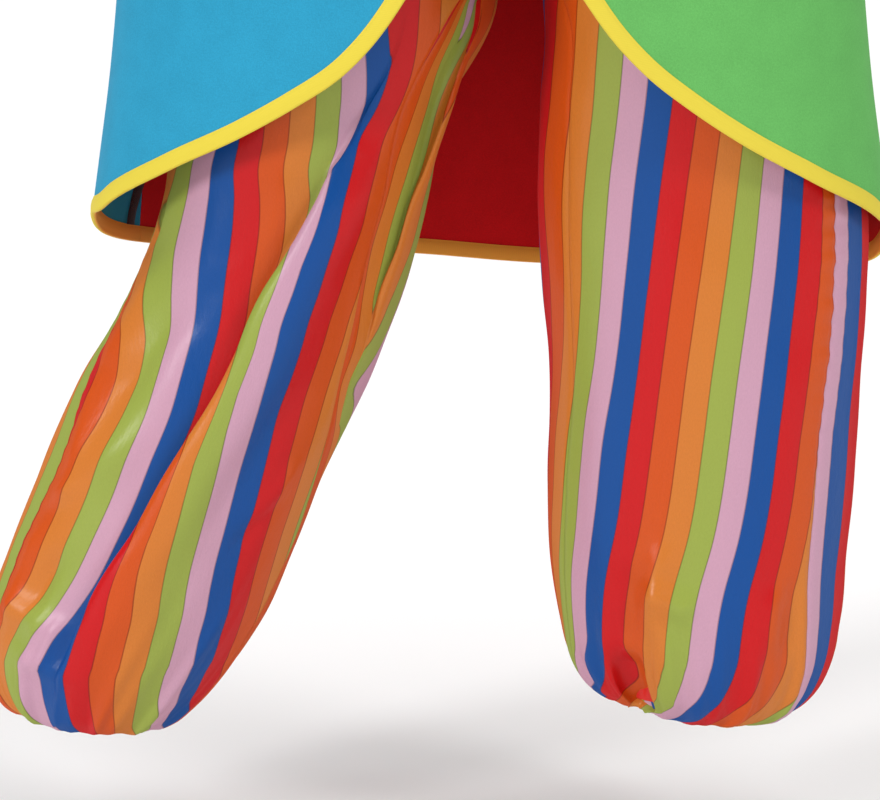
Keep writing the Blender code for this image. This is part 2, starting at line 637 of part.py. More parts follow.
def trouser_leg(side):
    """Outer faces and normals of a leg's front and back panels, from the waist to the ankle."""
    table, seam_table = (RIGHT_LEG, RIGHT_SEAMS) if side < 0 else (LEFT_LEG, LEFT_SEAMS)
    rings = []
    for row in table:
        height = row.in_height
        turns = (max(column(seam_table, name, height), 0) for name in ("outseam", "inseam"))
        place, lift = (column(DRAG_FOLD, name, height) for name in ("place", "lift"))
        fold = DragFold(height, place, max(lift, 0) if side < 0 else 0)
        rings.append(leg_ring(row, side, SeamTurn(height, *turns), fold))
    crotch = [row.in_height for row in table].index(CROTCH_HEIGHT)
    outers = [np.stack([ring[half] for ring in rings]) for half in (0, 1)]
    normals = [face_normals(outer) * side * turn for outer, turn in zip(outers, (1, -1))]
    outseam = unit(normals[0][:, 0] + normals[1][:, 0])
    inseam = unit(normals[0][crotch:, -1] + normals[1][crotch:, -1])
    rise = ankle_rise(side)
    for part in normals:
        part[:, 0] = outseam
        part[:crotch, -1, 0] = 0
        part[crotch:, -1] = inseam
        part[crotch, -1] = (0, 0, -1)
        part[0, :, 2] = 0
        part[-1] -= (part[-1] @ rise)[:, None] * rise
    return [(outer, unit(part)) for outer, part in zip(outers, normals)]


def casing(name, rows, wall, material):
    """A ring of elastic casing between two sections, each (centre, reach, half depth)."""
    turn = np.linspace(0, 2 * np.pi, CASING_STEPS, endpoint=False)
    grids = []
    for grow in (wall[1], wall[0]):
        rings = []
        for centre, reach, half_depth in rows:
            spread = 1 + grow / np.linalg.norm(reach)
            ring = centre + np.outer(np.cos(turn) * spread, reach)
            ring[:, 1] = (half_depth + grow) * np.sin(turn)
            rings.append(ring)
        grids.append(np.stack(rings))
    return cloth(name, grids[0], grids[1], material, closed=True)


def waist_casing(material):
    top = LEFT_LEG[0]
    reach = np.array([top.out_x, 0, 0])
    rows = [
        (np.array([0, 0, top.out_height + SEAM + rise]), reach, top.half_depth)
        for rise in (0, WAIST_CASING_HEIGHT)
    ]
    gather = top.gather * MM
    casing("waist_casing", rows, (-CASING_WALL / 2 - gather, CASING_WALL / 2), material)


def ankle_casing(side, material):
    """The ankle's casing stands inside the ballooned cloth, above the leg's last section."""
    last = (RIGHT_LEG if side < 0 else LEFT_LEG)[-1]
    out = np.array([last.out_x, 0, last.out_height])
    inner = np.array([last.in_x, 0, last.in_height])
    centre, reach = (out + inner) / 2, (out - inner) / 2
    rise = ankle_rise(side)
    rows = [(centre + rise * step, reach, last.half_depth) for step in (SEAM, SEAM + ANKLE_CASING_HEIGHT)]
    name = "ankle_casing_right" if side < 0 else "ankle_casing_left"
    casing(name, rows, (-CASING_INSET, CASING_WALL - CASING_INSET), material)


# ---------------------------------------------------------------- materials and the whole


def surface(name, colour, roughness):
    """A cloth material from an sRGB hex colour."""
    material = bpy.data.materials.new(name)
    material.use_nodes = True
    shader = material.node_tree.nodes["Principled BSDF"]
    parts = [int(colour[place : place + 2], 16) / 255 for place in (0, 2, 4)]
    linear = [part / 12.92 if part <= 0.04045 else ((part + 0.055) / 1.055) ** 2.4 for part in parts]
    shader.inputs["Base Color"].default_value = (*linear, 1)
    shader.inputs["Roughness"].default_value = roughness
    shader.inputs["Metallic"].default_value = 0
    return material


def build():
    for old in list(bpy.data.objects):
        bpy.data.objects.remove(old, do_unlink=True)
    collection = bpy.data.collections.new(COSTUME)
    bpy.context.scene.collection.children.link(collection)
    felts = {
        -1: surface("blue felt", "32A0C8", 0.9),
        0: surface("red felt", "A8161E", 0.9),
        1: surface("green felt", "70B96C", 0.9),
    }
    tape = surface("yellow tape", "F0DA46", 0.7)
    satin = surface("striped satin", "E8752A", 0.35)
    lining = surface("casing satin", "D9302A", 0.4)

    back, back_normals = coat_back()
    back_inner = back - FELT * back_normals
    cloth("coat_back", back, back_inner, felts[0])
    binding("binding_hem_back", back, back_inner, back_normals, tape)
    for side, word in ((-1, "right"), (1, "left")):
        front, normals = coat_front(side)
        inner = front - FELT * normals
        cloth(f"coat_front_{word}", front, inner, felts[side])
        binding(f"binding_front_{word}", front, inner, normals, tape)
        arm, arm_normals = sleeve(side, front, normals, back, back_normals)
        cloth(f"sleeve_{word}", arm, arm - FELT * arm_normals, felts[side], closed=True)
        for (outer, leg_normals), face in zip(trouser_leg(side), ("front", "back")):
            cloth(f"trouser_{face}_{word}", outer, outer - SATIN * leg_normals, satin)
        ankle_casing(side, lining)
    waist_casing(lining)


build()
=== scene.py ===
"""Clown costume as worn: a cutaway felt coat with a folded tape binding, over baggy satin
trousers with vertical stripes and elasticated ankles.

Metres, +Z up. The wearer faces -Y and their left side is at +X. The origin lies between the
shoulders. Every sheet of cloth is a grid of points over the form that its solid has, with the
cloth's own folds, gathers, seams and thickness added.
"""
from collections import namedtuple

import bpy
import numpy as np
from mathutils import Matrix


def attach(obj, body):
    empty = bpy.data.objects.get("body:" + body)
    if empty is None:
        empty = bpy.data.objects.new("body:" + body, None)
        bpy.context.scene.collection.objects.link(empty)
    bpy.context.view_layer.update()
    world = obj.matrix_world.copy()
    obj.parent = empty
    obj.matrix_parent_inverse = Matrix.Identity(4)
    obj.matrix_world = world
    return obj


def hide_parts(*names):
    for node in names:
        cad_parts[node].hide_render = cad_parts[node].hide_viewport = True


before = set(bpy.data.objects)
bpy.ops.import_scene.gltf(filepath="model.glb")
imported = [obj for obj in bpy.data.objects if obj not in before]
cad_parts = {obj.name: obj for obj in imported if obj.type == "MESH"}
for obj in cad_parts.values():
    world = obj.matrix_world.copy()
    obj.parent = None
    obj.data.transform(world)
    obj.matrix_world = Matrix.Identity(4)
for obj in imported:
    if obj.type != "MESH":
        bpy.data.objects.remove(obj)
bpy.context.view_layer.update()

bl_info = {
    "name": "Clown costume",
    "version": (1, 0, 0),
    "blender": (4, 5, 0),
    "location": "View3D > Sidebar > Costume",
    "description": "Sews a clown's felt coat and striped satin trousers over the costume's solids",
    "category": "Add Mesh",
}

MM = 0.001
BODY = "root"
ORIGIN_HEIGHT = 1.43  # heights in the tables are above the wearer's floor
SEAM = 0.3 * MM  # what parts two pieces that are sewn together
ALLOWANCE = (1.5 * MM, 4.0 * MM)  # how far the cloth is turned in behind a seam, step by step
RIGHT, LEFT = -1, 1  # the wearer's sides
FRONT, BACK = -1, 1
SIDES = ((RIGHT, "right"), (LEFT, "left"))
# the ways in which the four waves of a ripple run
RIPPLES = ((1, 0.6, 0.35), (-0.7, 1, 0.5), (0.45, -0.8, 1), (1.3, 0.2, -0.6))
CREASE_ANGLE = np.radians(60)  # edges sharper than this stay sharp in the shading


def linear(code):
    """An sRGB hex colour as linear light."""
    parts = [int(code[place : place + 2], 16) / 255 for place in (0, 2, 4)]
    return tuple(
        part / 12.92 if part <= 0.04045 else ((part + 0.055) / 1.055) ** 2.4 for part in parts
    )


# ---------------------------------------------------------------- smooth curves and grids


def smooth(knots, values, at):
    """A cubic curve through the values at the knots, read at one or more places."""
    knots, values, at = (np.asarray(part, float) for part in (knots, values, at))
    slopes = np.gradient(values, knots)
    left = np.clip(np.searchsorted(knots, at, side="right") - 1, 0, len(knots) - 2)
    width = knots[left + 1] - knots[left]
    part = np.clip((at - knots[left]) / width, 0, 1)
    start = (1 + 2 * part) * (1 - part) ** 2 * values[left]
    start = start + part * (1 - part) ** 2 * width * slopes[left]
    end = part**2 * (3 - 2 * part) * values[left + 1]
    return start + (end - part**2 * (1 - part) * width * slopes[left + 1])


def column(table, name, at, by="height"):
    """A named column of a table, read at one or more places of the column that sorts its rows."""
    places, values = ([getattr(row, field) for row in table] for field in (by, name))
    return smooth(places, values, at)


def evenly(rows, count):
    """count points spaced evenly along a smooth curve through the rows."""
    rows = np.asarray(rows, float)
    reach = np.concatenate([[0], np.cumsum(np.linalg.norm(np.diff(rows, axis=0), axis=1))])
    at = np.linspace(0, reach[-1], count)
    return np.stack([smooth(reach, part, at) for part in rows.T], axis=1)


def unit(vectors):
    """The vectors at a length of 1."""
    return vectors / np.linalg.norm(vectors, axis=-1, keepdims=True)


def ease(share):
    """From 0 to 1 with level ends, as the share goes from 0 to 1."""
    share = np.clip(share, 0, 1)
    return share**2 * (3 - 2 * share)


def bump_at(distance, width):
    """A soft bump, 1 high where the distance is 0, that falls off over the width."""
    return np.exp(-((distance / width) ** 2))


def travelled(grid, axis):
    """How far each point of a grid lies from the grid's first row (0) or column (1)."""
    steps = np.linalg.norm(np.diff(grid, axis=axis), axis=-1)
    start = np.zeros_like(steps[:1] if axis == 0 else steps[:, :1])
    return np.concatenate([start, np.cumsum(steps, axis=axis)], axis=axis)


def face_normals(grid, closed=False):
    """Normals at a grid's points, from the differences between their neighbours."""
    down = np.gradient(grid, axis=0)
    if closed:
        across = np.roll(grid, -1, axis=1) - np.roll(grid, 1, axis=1)
    else:
        across = np.gradient(grid, axis=1)
    return unit(np.cross(across, down))


def ripple(points, wavelength, turn):
    """Low, uneven waves between -1 and 1, the same for every piece at the same place."""
    total = 0
    for number, (x, y, z) in enumerate(RIPPLES):
        along = points @ np.array([x, y, z * 0.7]) / wavelength * (1 + 0.17 * number)
        total = total + np.sin(2 * np.pi * along + turn + 1.7 * number)
    return total / len(RIPPLES)


# ---------------------------------------------------------------- sheets of cloth


def clear_selection():
    """Deselects everything."""
    for thing in bpy.context.selected_objects:
        thing.select_set(False)


def cloth(name, grid, uv, outward, thickness, material, closed=False):
    """A sheet over a grid of points, with its thickness added on the inner side.

    uv is in metres of cloth. A closed grid's uv has one more column than its points have.
    """
    rows, columns = grid.shape[:2]
    number = np.arange(rows * columns).reshape(rows, columns)
    if closed:
        number = np.column_stack([number, number[:, 0]])
    corner = np.arange(number.size).reshape(number.shape)

    def quads(part):
        cells = (part[:-1, :-1], part[:-1, 1:], part[1:, 1:], part[1:, :-1])
        return np.stack(cells, axis=-1).reshape(-1, 4)

    points, faces, corners = grid.reshape(-1, 3), quads(number), quads(corner)
    ring = points[faces]
    facing = np.cross(ring[:, 2] - ring[:, 0], ring[:, 3] - ring[:, 1])
    if (facing * outward.reshape(-1, 3)[faces[:, 0]]).sum() < 0:
        faces, corners = faces[:, ::-1], corners[:, ::-1]
    mesh = bpy.data.meshes.new(name)
    mesh.from_pydata((points - (0, 0, ORIGIN_HEIGHT)).tolist(), [], faces.tolist())
    layer = mesh.uv_layers.new(name="cloth")
    places = uv.reshape(-1, 2)[corners.reshape(-1)]
    layer.data.foreach_set("uv", places.astype(np.float32).reshape(-1))
    mesh.materials.append(material)
    piece = bpy.data.objects.new(name, mesh)
    bpy.context.scene.collection.objects.link(piece)
    clear_selection()
    piece.select_set(True)
    bpy.context.view_layer.objects.active = piece
    wall = piece.modifiers.new("wall", "SOLIDIFY")
    wall.thickness, wall.offset = thickness, -1
    bpy.ops.object.modifier_apply(modifier=wall.name)
    piece.data.shade_smooth()
    piece.data.set_sharp_from_angle(angle=CREASE_ANGLE)
    return piece


def declare(piece, nodes):
    """Attaches a sheet to the body, and hides the solids of its nodes."""
    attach(piece, BODY)
    if nodes:
        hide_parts(*nodes)


# ---------------------------------------------------------------- the coat's sizes

CoatSection = namedtuple("CoatSection", "height half_width front_depth back_depth")
COAT = tuple(CoatSection(*row) for row in (
    (0.430, 0.324, 0.160, 0.188),
    (0.520, 0.314, 0.160, 0.180),
    (0.620, 0.300, 0.158, 0.168),
    (0.740, 0.288, 0.155, 0.158),
    (0.900, 0.270, 0.150, 0.145),
    (1.060, 0.253, 0.140, 0.132),
    (1.150, 0.246, 0.134, 0.130),
    (1.182, 0.245, 0.131, 0.129),
    (1.200, 0.250, 0.130, 0.128),
    (1.220, 0.260, 0.128, 0.127),
    (1.250, 0.278, 0.124, 0.126),
    (1.300, 0.304, 0.118, 0.122),
    (1.350, 0.316, 0.110, 0.119),
    (1.440, 0.320, 0.092, 0.100),
    (1.540, 0.320, 0.075, 0.085),
))

# The finished front edge, from the neck down the middle and round the cutaway to the side.
FrontEdge = namedtuple("FrontEdge", "across right_height left_height")
FRONT_EDGE = tuple(FrontEdge(*row) for row in (
    (0.000, 1.420, 1.420),
    (0.000, 1.180, 1.180),
    (0.001, 1.000, 1.000),
    (0.008, 0.900, 0.900),
    (0.026, 0.800, 0.800),
    (0.050, 0.725, 0.725),
    (0.073, 0.684, 0.687),
    (0.093, 0.657, 0.660),
    (0.116, 0.634, 0.636),
    (0.150, 0.611, 0.609),
    (0.191, 0.587, 0.581),
    (0.250, 0.557, 0.547),
    (0.300, 0.526, 0.517),
    (0.315, 0.511, 0.503),
))

# The coat's hem at the back, round from the wearer's left side to the right one.
Hem = namedtuple("Hem", "turn height")
BACK_HEM = tuple(Hem(*row) for row in (
    (90, 0.503),
    (105, 0.470),
    (120, 0.457),
    (150, 0.448),
    (172, 0.447),
    (190, 0.455),
    (210, 0.463),
    (240, 0.476),
    (255, 0.489),
    (270, 0.511),
))

# The right side seam swings to the back on its way down, by this many degrees.
SeamSwing = namedtuple("SeamSwing", "height swing")
RIGHT_SEAM_SWING = tuple(SeamSwing(*row) for row in (
    (0.430, 27),
    (0.560, 26),
    (0.700, 19),
    (0.900, 8),
    (1.060, 2),
    (1.200, 0),
))
SWING_START = 200  # the turn from which the back's columns give way to it
SWING_COLUMNS = 14  # the right front's columns past the side

NECK_POINT = (0.085, 1.495)  # across and height where the shoulder seam meets the neck
ARMHOLE_X = 0.250  # the armhole lies flat in the upright plane at this distance across
SHOULDER_POINT = (ARMHOLE_X, 1.418)  # across and height where the seam meets the armhole
SHOULDER_ROUND = 0.11  # how far below the shoulder seam the coat reaches its full depth
FRONT_NECK_HEIGHT = 1.42
BACK_NECK_HEIGHT = 1.487
UNDERARM_HEIGHT = 1.20
TAPE = 1.0 * MM
EDGE_INSET = TAPE + 3 * SEAM  # a front stops short of the middle by this, where the bindings meet

SleeveSection = namedtuple("SleeveSection", "along half_height half_depth")
SLEEVE = tuple(SleeveSection(*row) for row in (
    (0.030, 0.108, 0.092),
    (0.065, 0.104, 0.089),
    (0.100, 0.099, 0.086),
    (0.140, 0.094, 0.083),
    (0.200, 0.085, 0.079),
    (0.280, 0.080, 0.076),
    (0.360, 0.076, 0.073),
    (0.440, 0.073, 0.070),
    (0.500, 0.071, 0.068),
))
SLEEVE_LEAD = 0.030  # it leaves the armhole level for this far
SLEEVE_BEND_RADIUS = 0.15
SLEEVE_BEND = np.radians(58)  # how far the sleeve turns down from level
SLEEVE_BLEND = 0.14  # how far down the sleeve the armhole's own outline dies away
SLEEVE_STEP = 0.006
SLEEVE_HEM = 0.020  # the line of stitches above the cuff
SLEEVE_SWAY = 2.0 * MM  # the depth of its soft waves
SLEEVE_WAVE, SLEEVE_TURN = 0.13, 0.6  # their length, and where they start
SLEEVE_FADES = (0.06, 0.03)  # they grow from nothing over this far at the armhole and at the cuff
BUNCH_PLACE, BUNCH_REACH, BUNCH_STEP = 0.16, 0.09, 0.034  # the folds under the arm

COAT_ROWS = 60
ROW_CROWDING = 1.25
SHOULDER_COLUMNS = 20
ARMHOLE_COLUMNS = 76
FRONT_COLUMNS = SHOULDER_COLUMNS + ARMHOLE_COLUMNS - 1
BACK_COLUMNS = 2 * FRONT_COLUMNS + 31
BACK_SPREAD = (148, 163)  # the turns at the hem below the shoulder point and the neck point
BACK_LAG = 5
RIM_STRETCH = 2.5
EDGE_ROWS = (2 * MM, 4 * MM, 8 * MM, 12 * MM)  # rows that follow an edge, under its binding
SWAY_TOP, SWAY_REACH = 1.12, 0.6  # the skirt's waves start here and are full this far down
NORMAL_STEP = (0.05, 0.2 * MM)  # the turn and the height over which the normals are measured

OVERLOCK_WIDTH = 13 * MM
OVERLOCK_LEAN = 13 * MM  # how far the right one lies to the front of its seam at the hem
OVERLOCK_NARROWED = 0.2  # the share of its width that it loses at the hem
OVERLOCK_TURN = 0.06  # how far up from the hem it narrows and leans
OVERLOCK_HEIGHT = 1.2 * MM
OVERLOCK_WALL = 0.5 * MM
OVERLOCK_POINTS = 9
SIDE_ROUND = 0.10  # the radius of the coat's curve at its sides
TAPE_STEP = 3 * MM  # between two rows of points along the tape and the overlocking
TAPE_POINTS = 9  # across each half of the tape
TAPE_FOLD = np.radians((30, 60, 90, 120, 150))  # the points round its fold
TAPE_PUFF, TAPE_PRESSED, TAPE_GROOVE = 0.5, 0.7, 0.35  # in millimetres
TAPE_WALL = TAPE * 0.9
STITCH = 3 * MM
STITCH_SHARE = 0.75  # the share of a stitch's length on which its thread shows
STITCH_HALF_WIDTH = 0.45 * MM
STITCH_INSET = 1.6 * MM  # the stitches lie this far inside the tape's own edges
RIB = 0.8 * MM  # half the way from one rib of the tape, or loop of the overlocking, to the next

# ---------------------------------------------------------------- the trousers' sizes

LegSection = namedtuple("LegSection", "out_x out_height in_x in_height half_depth gather")
LEFT_LEG = tuple(LegSection(*row) for row in (
    (0.165, 1.060, -0.165, 1.060, 0.115, 1.0),
    (0.182, 1.040, -0.172, 1.040, 0.120, 4.0),
    (0.207, 1.000, -0.165, 1.000, 0.124, 3.5),
    (0.238, 0.920, -0.130, 0.920, 0.124, 1.5),
    (0.255, 0.840, -0.075, 0.840, 0.120, 0.0),
    (0.263, 0.790, -0.030, 0.790, 0.116, 0.0),
    (0.265, 0.765, -0.003, 0.765, 0.114, 0.0),
    (0.267, 0.750, 0.018, 0.750, 0.112, 0.0),
    (0.270, 0.725, 0.030, 0.725, 0.109, 0.0),
    (0.276, 0.665, 0.040, 0.665, 0.104, 0.0),
    (0.286, 0.600, 0.037, 0.600, 0.101, 0.0),
    (0.300, 0.530, 0.036, 0.530, 0.099, 0.0),
    (0.300, 0.450, 0.042, 0.450, 0.098, 0.0),
    (0.296, 0.377, 0.048, 0.377, 0.097, 0.0),
    (0.292, 0.300, 0.046, 0.300, 0.096, 0.0),
    (0.286, 0.235, 0.048, 0.235, 0.096, 0.5),
    (0.283, 0.185, 0.055, 0.185, 0.095, 1.5),
    (0.277, 0.150, 0.062, 0.157, 0.092, 3.0),
    (0.263, 0.123, 0.074, 0.138, 0.085, 4.5),
    (0.243, 0.107, 0.087, 0.126, 0.075, 5.0),
    (0.222, 0.103, 0.095, 0.121, 0.067, 4.0),
    (0.206, 0.108, 0.098, 0.122, 0.061, 2.5),
    (0.198, 0.120, 0.098, 0.129, 0.058, 1.0),
))
RIGHT_LEG = tuple(LegSection(*row) for row in (
    (-0.165, 1.060, 0.165, 1.060, 0.115, 1.0),
    (-0.182, 1.040, 0.172, 1.040, 0.120, 4.0),
    (-0.205, 1.000, 0.165, 1.000, 0.124, 3.5),
    (-0.232, 0.920, 0.130, 0.920, 0.124, 1.5),
    (-0.246, 0.840, 0.085, 0.840, 0.120, 0.0),
    (-0.252, 0.790, 0.050, 0.790, 0.116, 0.0),
    (-0.254, 0.765, 0.031, 0.765, 0.114, 0.0),
    (-0.255, 0.750, 0.018, 0.750, 0.112, 0.0),
    (-0.256, 0.725, 0.012, 0.725, 0.109, 0.0),
    (-0.257, 0.665, 0.004, 0.665, 0.104, 0.0),
    (-0.257, 0.600, -0.030, 0.600, 0.101, 0.0),
    (-0.259, 0.530, -0.048, 0.530, 0.099, 0.0),
    (-0.287, 0.450, -0.069, 0.450, 0.098, 0.0),
    (-0.329, 0.377, -0.097, 0.377, 0.097, 0.0),
    (-0.362, 0.300, -0.133, 0.300, 0.096, 0.0),
    (-0.389, 0.235, -0.159, 0.235, 0.096, 0.5),
    (-0.405, 0.185, -0.184, 0.180, 0.095, 1.5),
    (-0.407, 0.152, -0.209, 0.142, 0.090, 3.0),
    (-0.400, 0.129, -0.233, 0.117, 0.082, 4.5),
    (-0.389, 0.114, -0.254, 0.101, 0.073, 5.0),
    (-0.381, 0.110, -0.265, 0.097, 0.066, 4.0),
    (-0.376, 0.114, -0.271, 0.101, 0.061, 2.5),
    (-0.373, 0.125, -0.273, 0.112, 0.058, 1.0),
))
# How far the seams are turned to the front of a leg's section, in degrees.
SeamTurn = namedtuple("SeamTurn", "height outseam inseam")
LEFT_SEAMS = tuple(SeamTurn(*row) for row in (
    (0.090, 36, 20),
    (0.146, 43, 20),
    (0.194, 45, 22),
    (0.267, 45, 26),
    (0.338, 45, 28),
    (0.410, 42, 31),
    (0.529, 40, 34),
    (0.600, 36, 34),
    (0.680, 30, 30),
    (0.750, 24, 0),
    (0.850, 12, 0),
    (1.060, 0, 0),
))
RIGHT_SEAMS = tuple(SeamTurn(*row) for row in (
    (0.090, 22, 25),
    (0.152, 22, 24),
    (0.210, 24, 18),
    (0.260, 24, 14),
    (0.290, 26, 17),
    (0.330, 27, 26),
    (0.378, 20, 37),
    (0.425, 10, 44),
    (0.470, 1, 49),
    (0.534, 0, 50),
    (0.605, 0, 49),
    (0.680, 0, 42),
    (0.750, 0, 0),
    (1.060, 0, 0),
))
CROTCH_HEIGHT = 0.750
CROTCH_X = 0.018  # the middle seam leans this far to the wearer's left at the crotch
WAIST_HEIGHT = 1.060
ANKLE_GATHER, WAIST_GATHER = 0.160, 0.920  # the heights between which the cloth isn't gathered
LEG_RADIUS = 0.11  # about how far the cloth lies from the middle of a leg
ROW_STEP = 0.0055
PANEL_COLUMNS = 110
SEAM_CROWDING = 0.6  # draws the columns together towards the seams
ARC_STEPS = 720

# The stripes run round each leg from its outermost line, in millimetres. 0 is where a red
# stripe starts, and the six colours repeat to the wearer's left.
LeftStripes = namedtuple("LeftStripes", "height start bow")
LEFT_STRIPES = tuple(LeftStripes(*row) for row in (
    (0.100, 388.0, -42.0),
    (0.122, 384.0, -38.0),
    (0.150, 377.3, -31.3),
    (0.199, 377.0, -19.2),
    (0.271, 364.6, -3.2),
    (0.343, 359.4, 1.6),
    (0.414, 355.3, -9.1),
    (0.461, 351.1, -5.4),
    (0.532, 341.5, 19.7),
    (0.602, 321.3, 28.0),
    (0.760, 300.0, 28.0),
))
LEFT_BACK_START = 86  # the stripe at the back panel's outseam
LEFT_REPEATS = 480  # four repeats, which bring the stripes at the inseam in line with it
RightStripes = namedtuple("RightStripes", "height outer bow inner")
RIGHT_STRIPES = tuple(RightStripes(*row) for row in (
    (0.152, -119, 0, -124),
    (0.177, -128, 0, -128),
    (0.201, -140, 0, -129),
    (0.226, -149, 10, -124.5),
    (0.274, -155, 20, -117),
    (0.322, -155, 14, -109),
    (0.370, -154, 10, -100),
    (0.417, -141, 16, -87),
    (0.441, -134, 37, -80),
    (0.464, -127, 39, -78),
    (0.488, -122, 46, -76),
    (0.512, -118, 40, -76),
    (0.534, -114, 26, -76),
    (0.557, -111, 10, -82),
    (0.580, -115, 0, -90),
    (0.605, -117, 0, -105),
    (0.680, -112, 0, -119),
    (0.760, -110, 0, -120),
))
# On the right back panel: the stripe at the inseam, on both sides of the short fold, and at the
# leg's innermost line.
RightBack = namedtuple("RightBack", "height seam before after edge")
RIGHT_BACK_STRIPES = tuple(RightBack(*row) for row in (
    (0.290, 25, 38, 38, 50),
    (0.330, 24, 46, 48, 78),
    (0.377, 35, 60, 78, 104),
    (0.414, 31, 57, 60, 100),
    (0.454, 32, 65, 54, 88),
    (0.492, 36, 73, 47, 69),
    (0.533, 32, 75, 46, 63),
    (0.550, 31, 75, 45, 62),
    (0.600, 20, 74, 38, 58),
    (0.640, 17, 84, 22, 50),
    (0.670, 12, 90, 16, 45),
    (0.760, 10, 60, 60, 80),
))
RIGHT_BACK_END = 438  # the stripe where the back panel meets the outseam
BACK_CENTRE = {RIGHT: 250, LEFT: 313}  # the stripes at the middle of each back panel
BLEND = 0.15  # the stripes of a back panel take up its seams' slant over this far

# A lap of cloth in section: how far each point lies along the leg's girth from the lap's edge
# when it is fully folded and when it is flat, and its share of the lift.
LapPoint = namedtuple("LapPoint", "folded flat lift")
LAP = tuple(LapPoint(*row) for row in (
    (-16, -16, -0.25),
    (-8, -9, -0.29),
    (-2, -5, -0.30),
    (3, -3.8, -0.30),
    (7, -3.2, -0.24),
    (9, -2.6, -0.12),
    (8, -2.0, 0.02),
    (4.5, -1.4, 0.12),
    (1, -0.8, 0.24),
    (-1, -0.2, 0.40),
    (0, 1.2, 0.54),
    (4, 4, 0.66),
    (10, 10, 0.73),
    (16, 16, 0.75),
    (24, 24, 0.72),
))
LAP_HIDDEN = (2, 9)  # the first and last of its points between which the cloth is out of sight
LAP_BEFORE, LAP_AFTER = 0.045, 0.032  # how far the valley and the crest spread
LIP_ROLL, LIP_WIDTH = 14 * MM, 12 * MM  # how much cloth rolls out of the lap's lip, and how far
# The long drag fold down the right leg's front: where its edge lies on the section, in
# degrees from the outermost line, its lift in metres and how far it is folded over.
Lap = namedtuple("Lap", "height turn lift folded")
DRAG_FOLD = tuple(Lap(*row) for row in (
    (0.090, 71, 0.000, 0),
    (0.125, 71, 0.002, 0),
    (0.152, 71, 0.009, 0),
    (0.177, 72, 0.012, 0.1),
    (0.201, 73, 0.015, 0.3),
    (0.226, 74, 0.016, 0.5),
    (0.274, 80, 0.018, 0.75),
    (0.322, 83, 0.019, 0.85),
    (0.370, 87, 0.020, 1),
    (0.417, 88, 0.022, 1),
    (0.441, 87, 0.022, 0.9),
    (0.464, 88, 0.021, 0.8),
    (0.488, 91, 0.020, 0.65),
    (0.512, 95, 0.018, 0.62),
    (0.534, 98.5, 0.016, 0.6),
    (0.557, 102, 0.011, 0.35),
    (0.572, 107, 0.008, 0.10),
    (0.590, 111, 0.006, 0.0),
    (0.605, 113.6, 0.004, 0.0),
    (0.620, 115.7, 0.003, 0.0),
    (0.660, 117, 0.001, 0),
    (0.700, 117, 0.000, 0),
))
# The short fold beside the right inseam, on the back panel: degrees are past the innermost line.
INSEAM_FOLD = tuple(Lap(*row) for row in (
    (0.290, 10, 0.000, 0),
    (0.330, 18, 0.000, 0),
    (0.377, 30, 0.001, 0),
    (0.414, 31, 0.002, 0),
    (0.430, 33, 0.004, 0.2),
    (0.454, 36.3, 0.006, 0.5),
    (0.492, 34.0, 0.007, 1),
    (0.533, 32.0, 0.008, 1),
    (0.550, 29, 0.010, 1),
    (0.600, 25.5, 0.015, 1),
    (0.640, 31.5, 0.011, 1),
    (0.670, 32, 0.006, 1),
    (0.710, 32, 0.002, 0.3),
    (0.740, 32, 0.000, 0),
))
INSEAM_FOLD_SIZE = 0.42  # against the drag fold's
INSEAM_FOLD_REACH = 0.80  # the share of the way to the inseam that it may reach
INSEAM_FOLD_CLEAR = np.radians(4)  # and how far it stays from the inseam
FOLD_SHARES = (0.1, 0.9)  # where it may lie on the way, for the stripes beside it
LEAST_TURN = 0.02  # the least way from the innermost line to the inseam that is reckoned with

# Soft ridges (a positive depth) and troughs, each from one place on a leg's section to
# another. Places are heights and degrees from the outermost line, widths and depths in mm.
Crease = namedtuple("Crease", "height turn end_height end_turn width depth")
RIGHT_FRONT_CREASES = tuple(Crease(*row) for row in (
    (0.500, 28, 0.330, 22, 16, 5.5),
    (0.470, 50, 0.300, 44, 17, -6.0),
    (0.420, 20, 0.370, 60, 14, 1.5),
    (0.280, 30, 0.190, 22, 15, 5.5),
    (0.260, 52, 0.170, 40, 13, -5.0),
    (0.205, 62, 0.150, 56, 9, 5.0),
    (0.560, 62, 0.470, 70, 14, -1.5),
    (0.560, 84, 0.490, 84, 10, 2.5),
    (0.400, 118, 0.250, 108, 16, -3.0),
    (0.330, 140, 0.270, 128, 10, 3.0),
    (0.300, 138, 0.250, 122, 9, -2.5),
    (0.650, 80, 0.560, 122, 14, -3.0),
    (0.342, 2, 0.326, 74, 24, 6.5),
    (0.396, 8, 0.384, 66, 17, -4.0),
    (0.214, 12, 0.190, 60, 12, 7.0),
    (0.168, 40, 0.150, 78, 9, 3.5),
    (0.292, 8, 0.302, 52, 10, 4.0),
    (0.565, 2, 0.470, 3, 18, -9.0),
    (0.548, 12, 0.490, 9, 4, -4.5),
    (0.480, 66, 0.420, 60, 13, -1.5),
))
LEFT_FRONT_CREASES = tuple(Crease(*row) for row in (
    (0.600, 62, 0.380, 60, 22, -2.5),
    (0.520, 84, 0.260, 80, 24, 2.5),
    (0.560, 118, 0.330, 122, 20, -2.5),
    (0.420, 136, 0.200, 132, 16, 2.5),
    (0.270, 106, 0.180, 112, 11, 4.5),
    (0.250, 120, 0.170, 120, 10, -4.0),
    (0.226, 116, 0.205, 92, 11, 6.0),
    (0.250, 38, 0.145, 42, 7, 6.0),
    (0.180, 125, 0.093, 126, 16, -15.0),
    (0.205, 107, 0.110, 104, 9, 6.5),
    (0.180, 146, 0.115, 148, 9, 4.0),
    (0.230, 62, 0.160, 66, 10, 3.0),
    (0.240, 50, 0.160, 54, 9, -3.0),
))
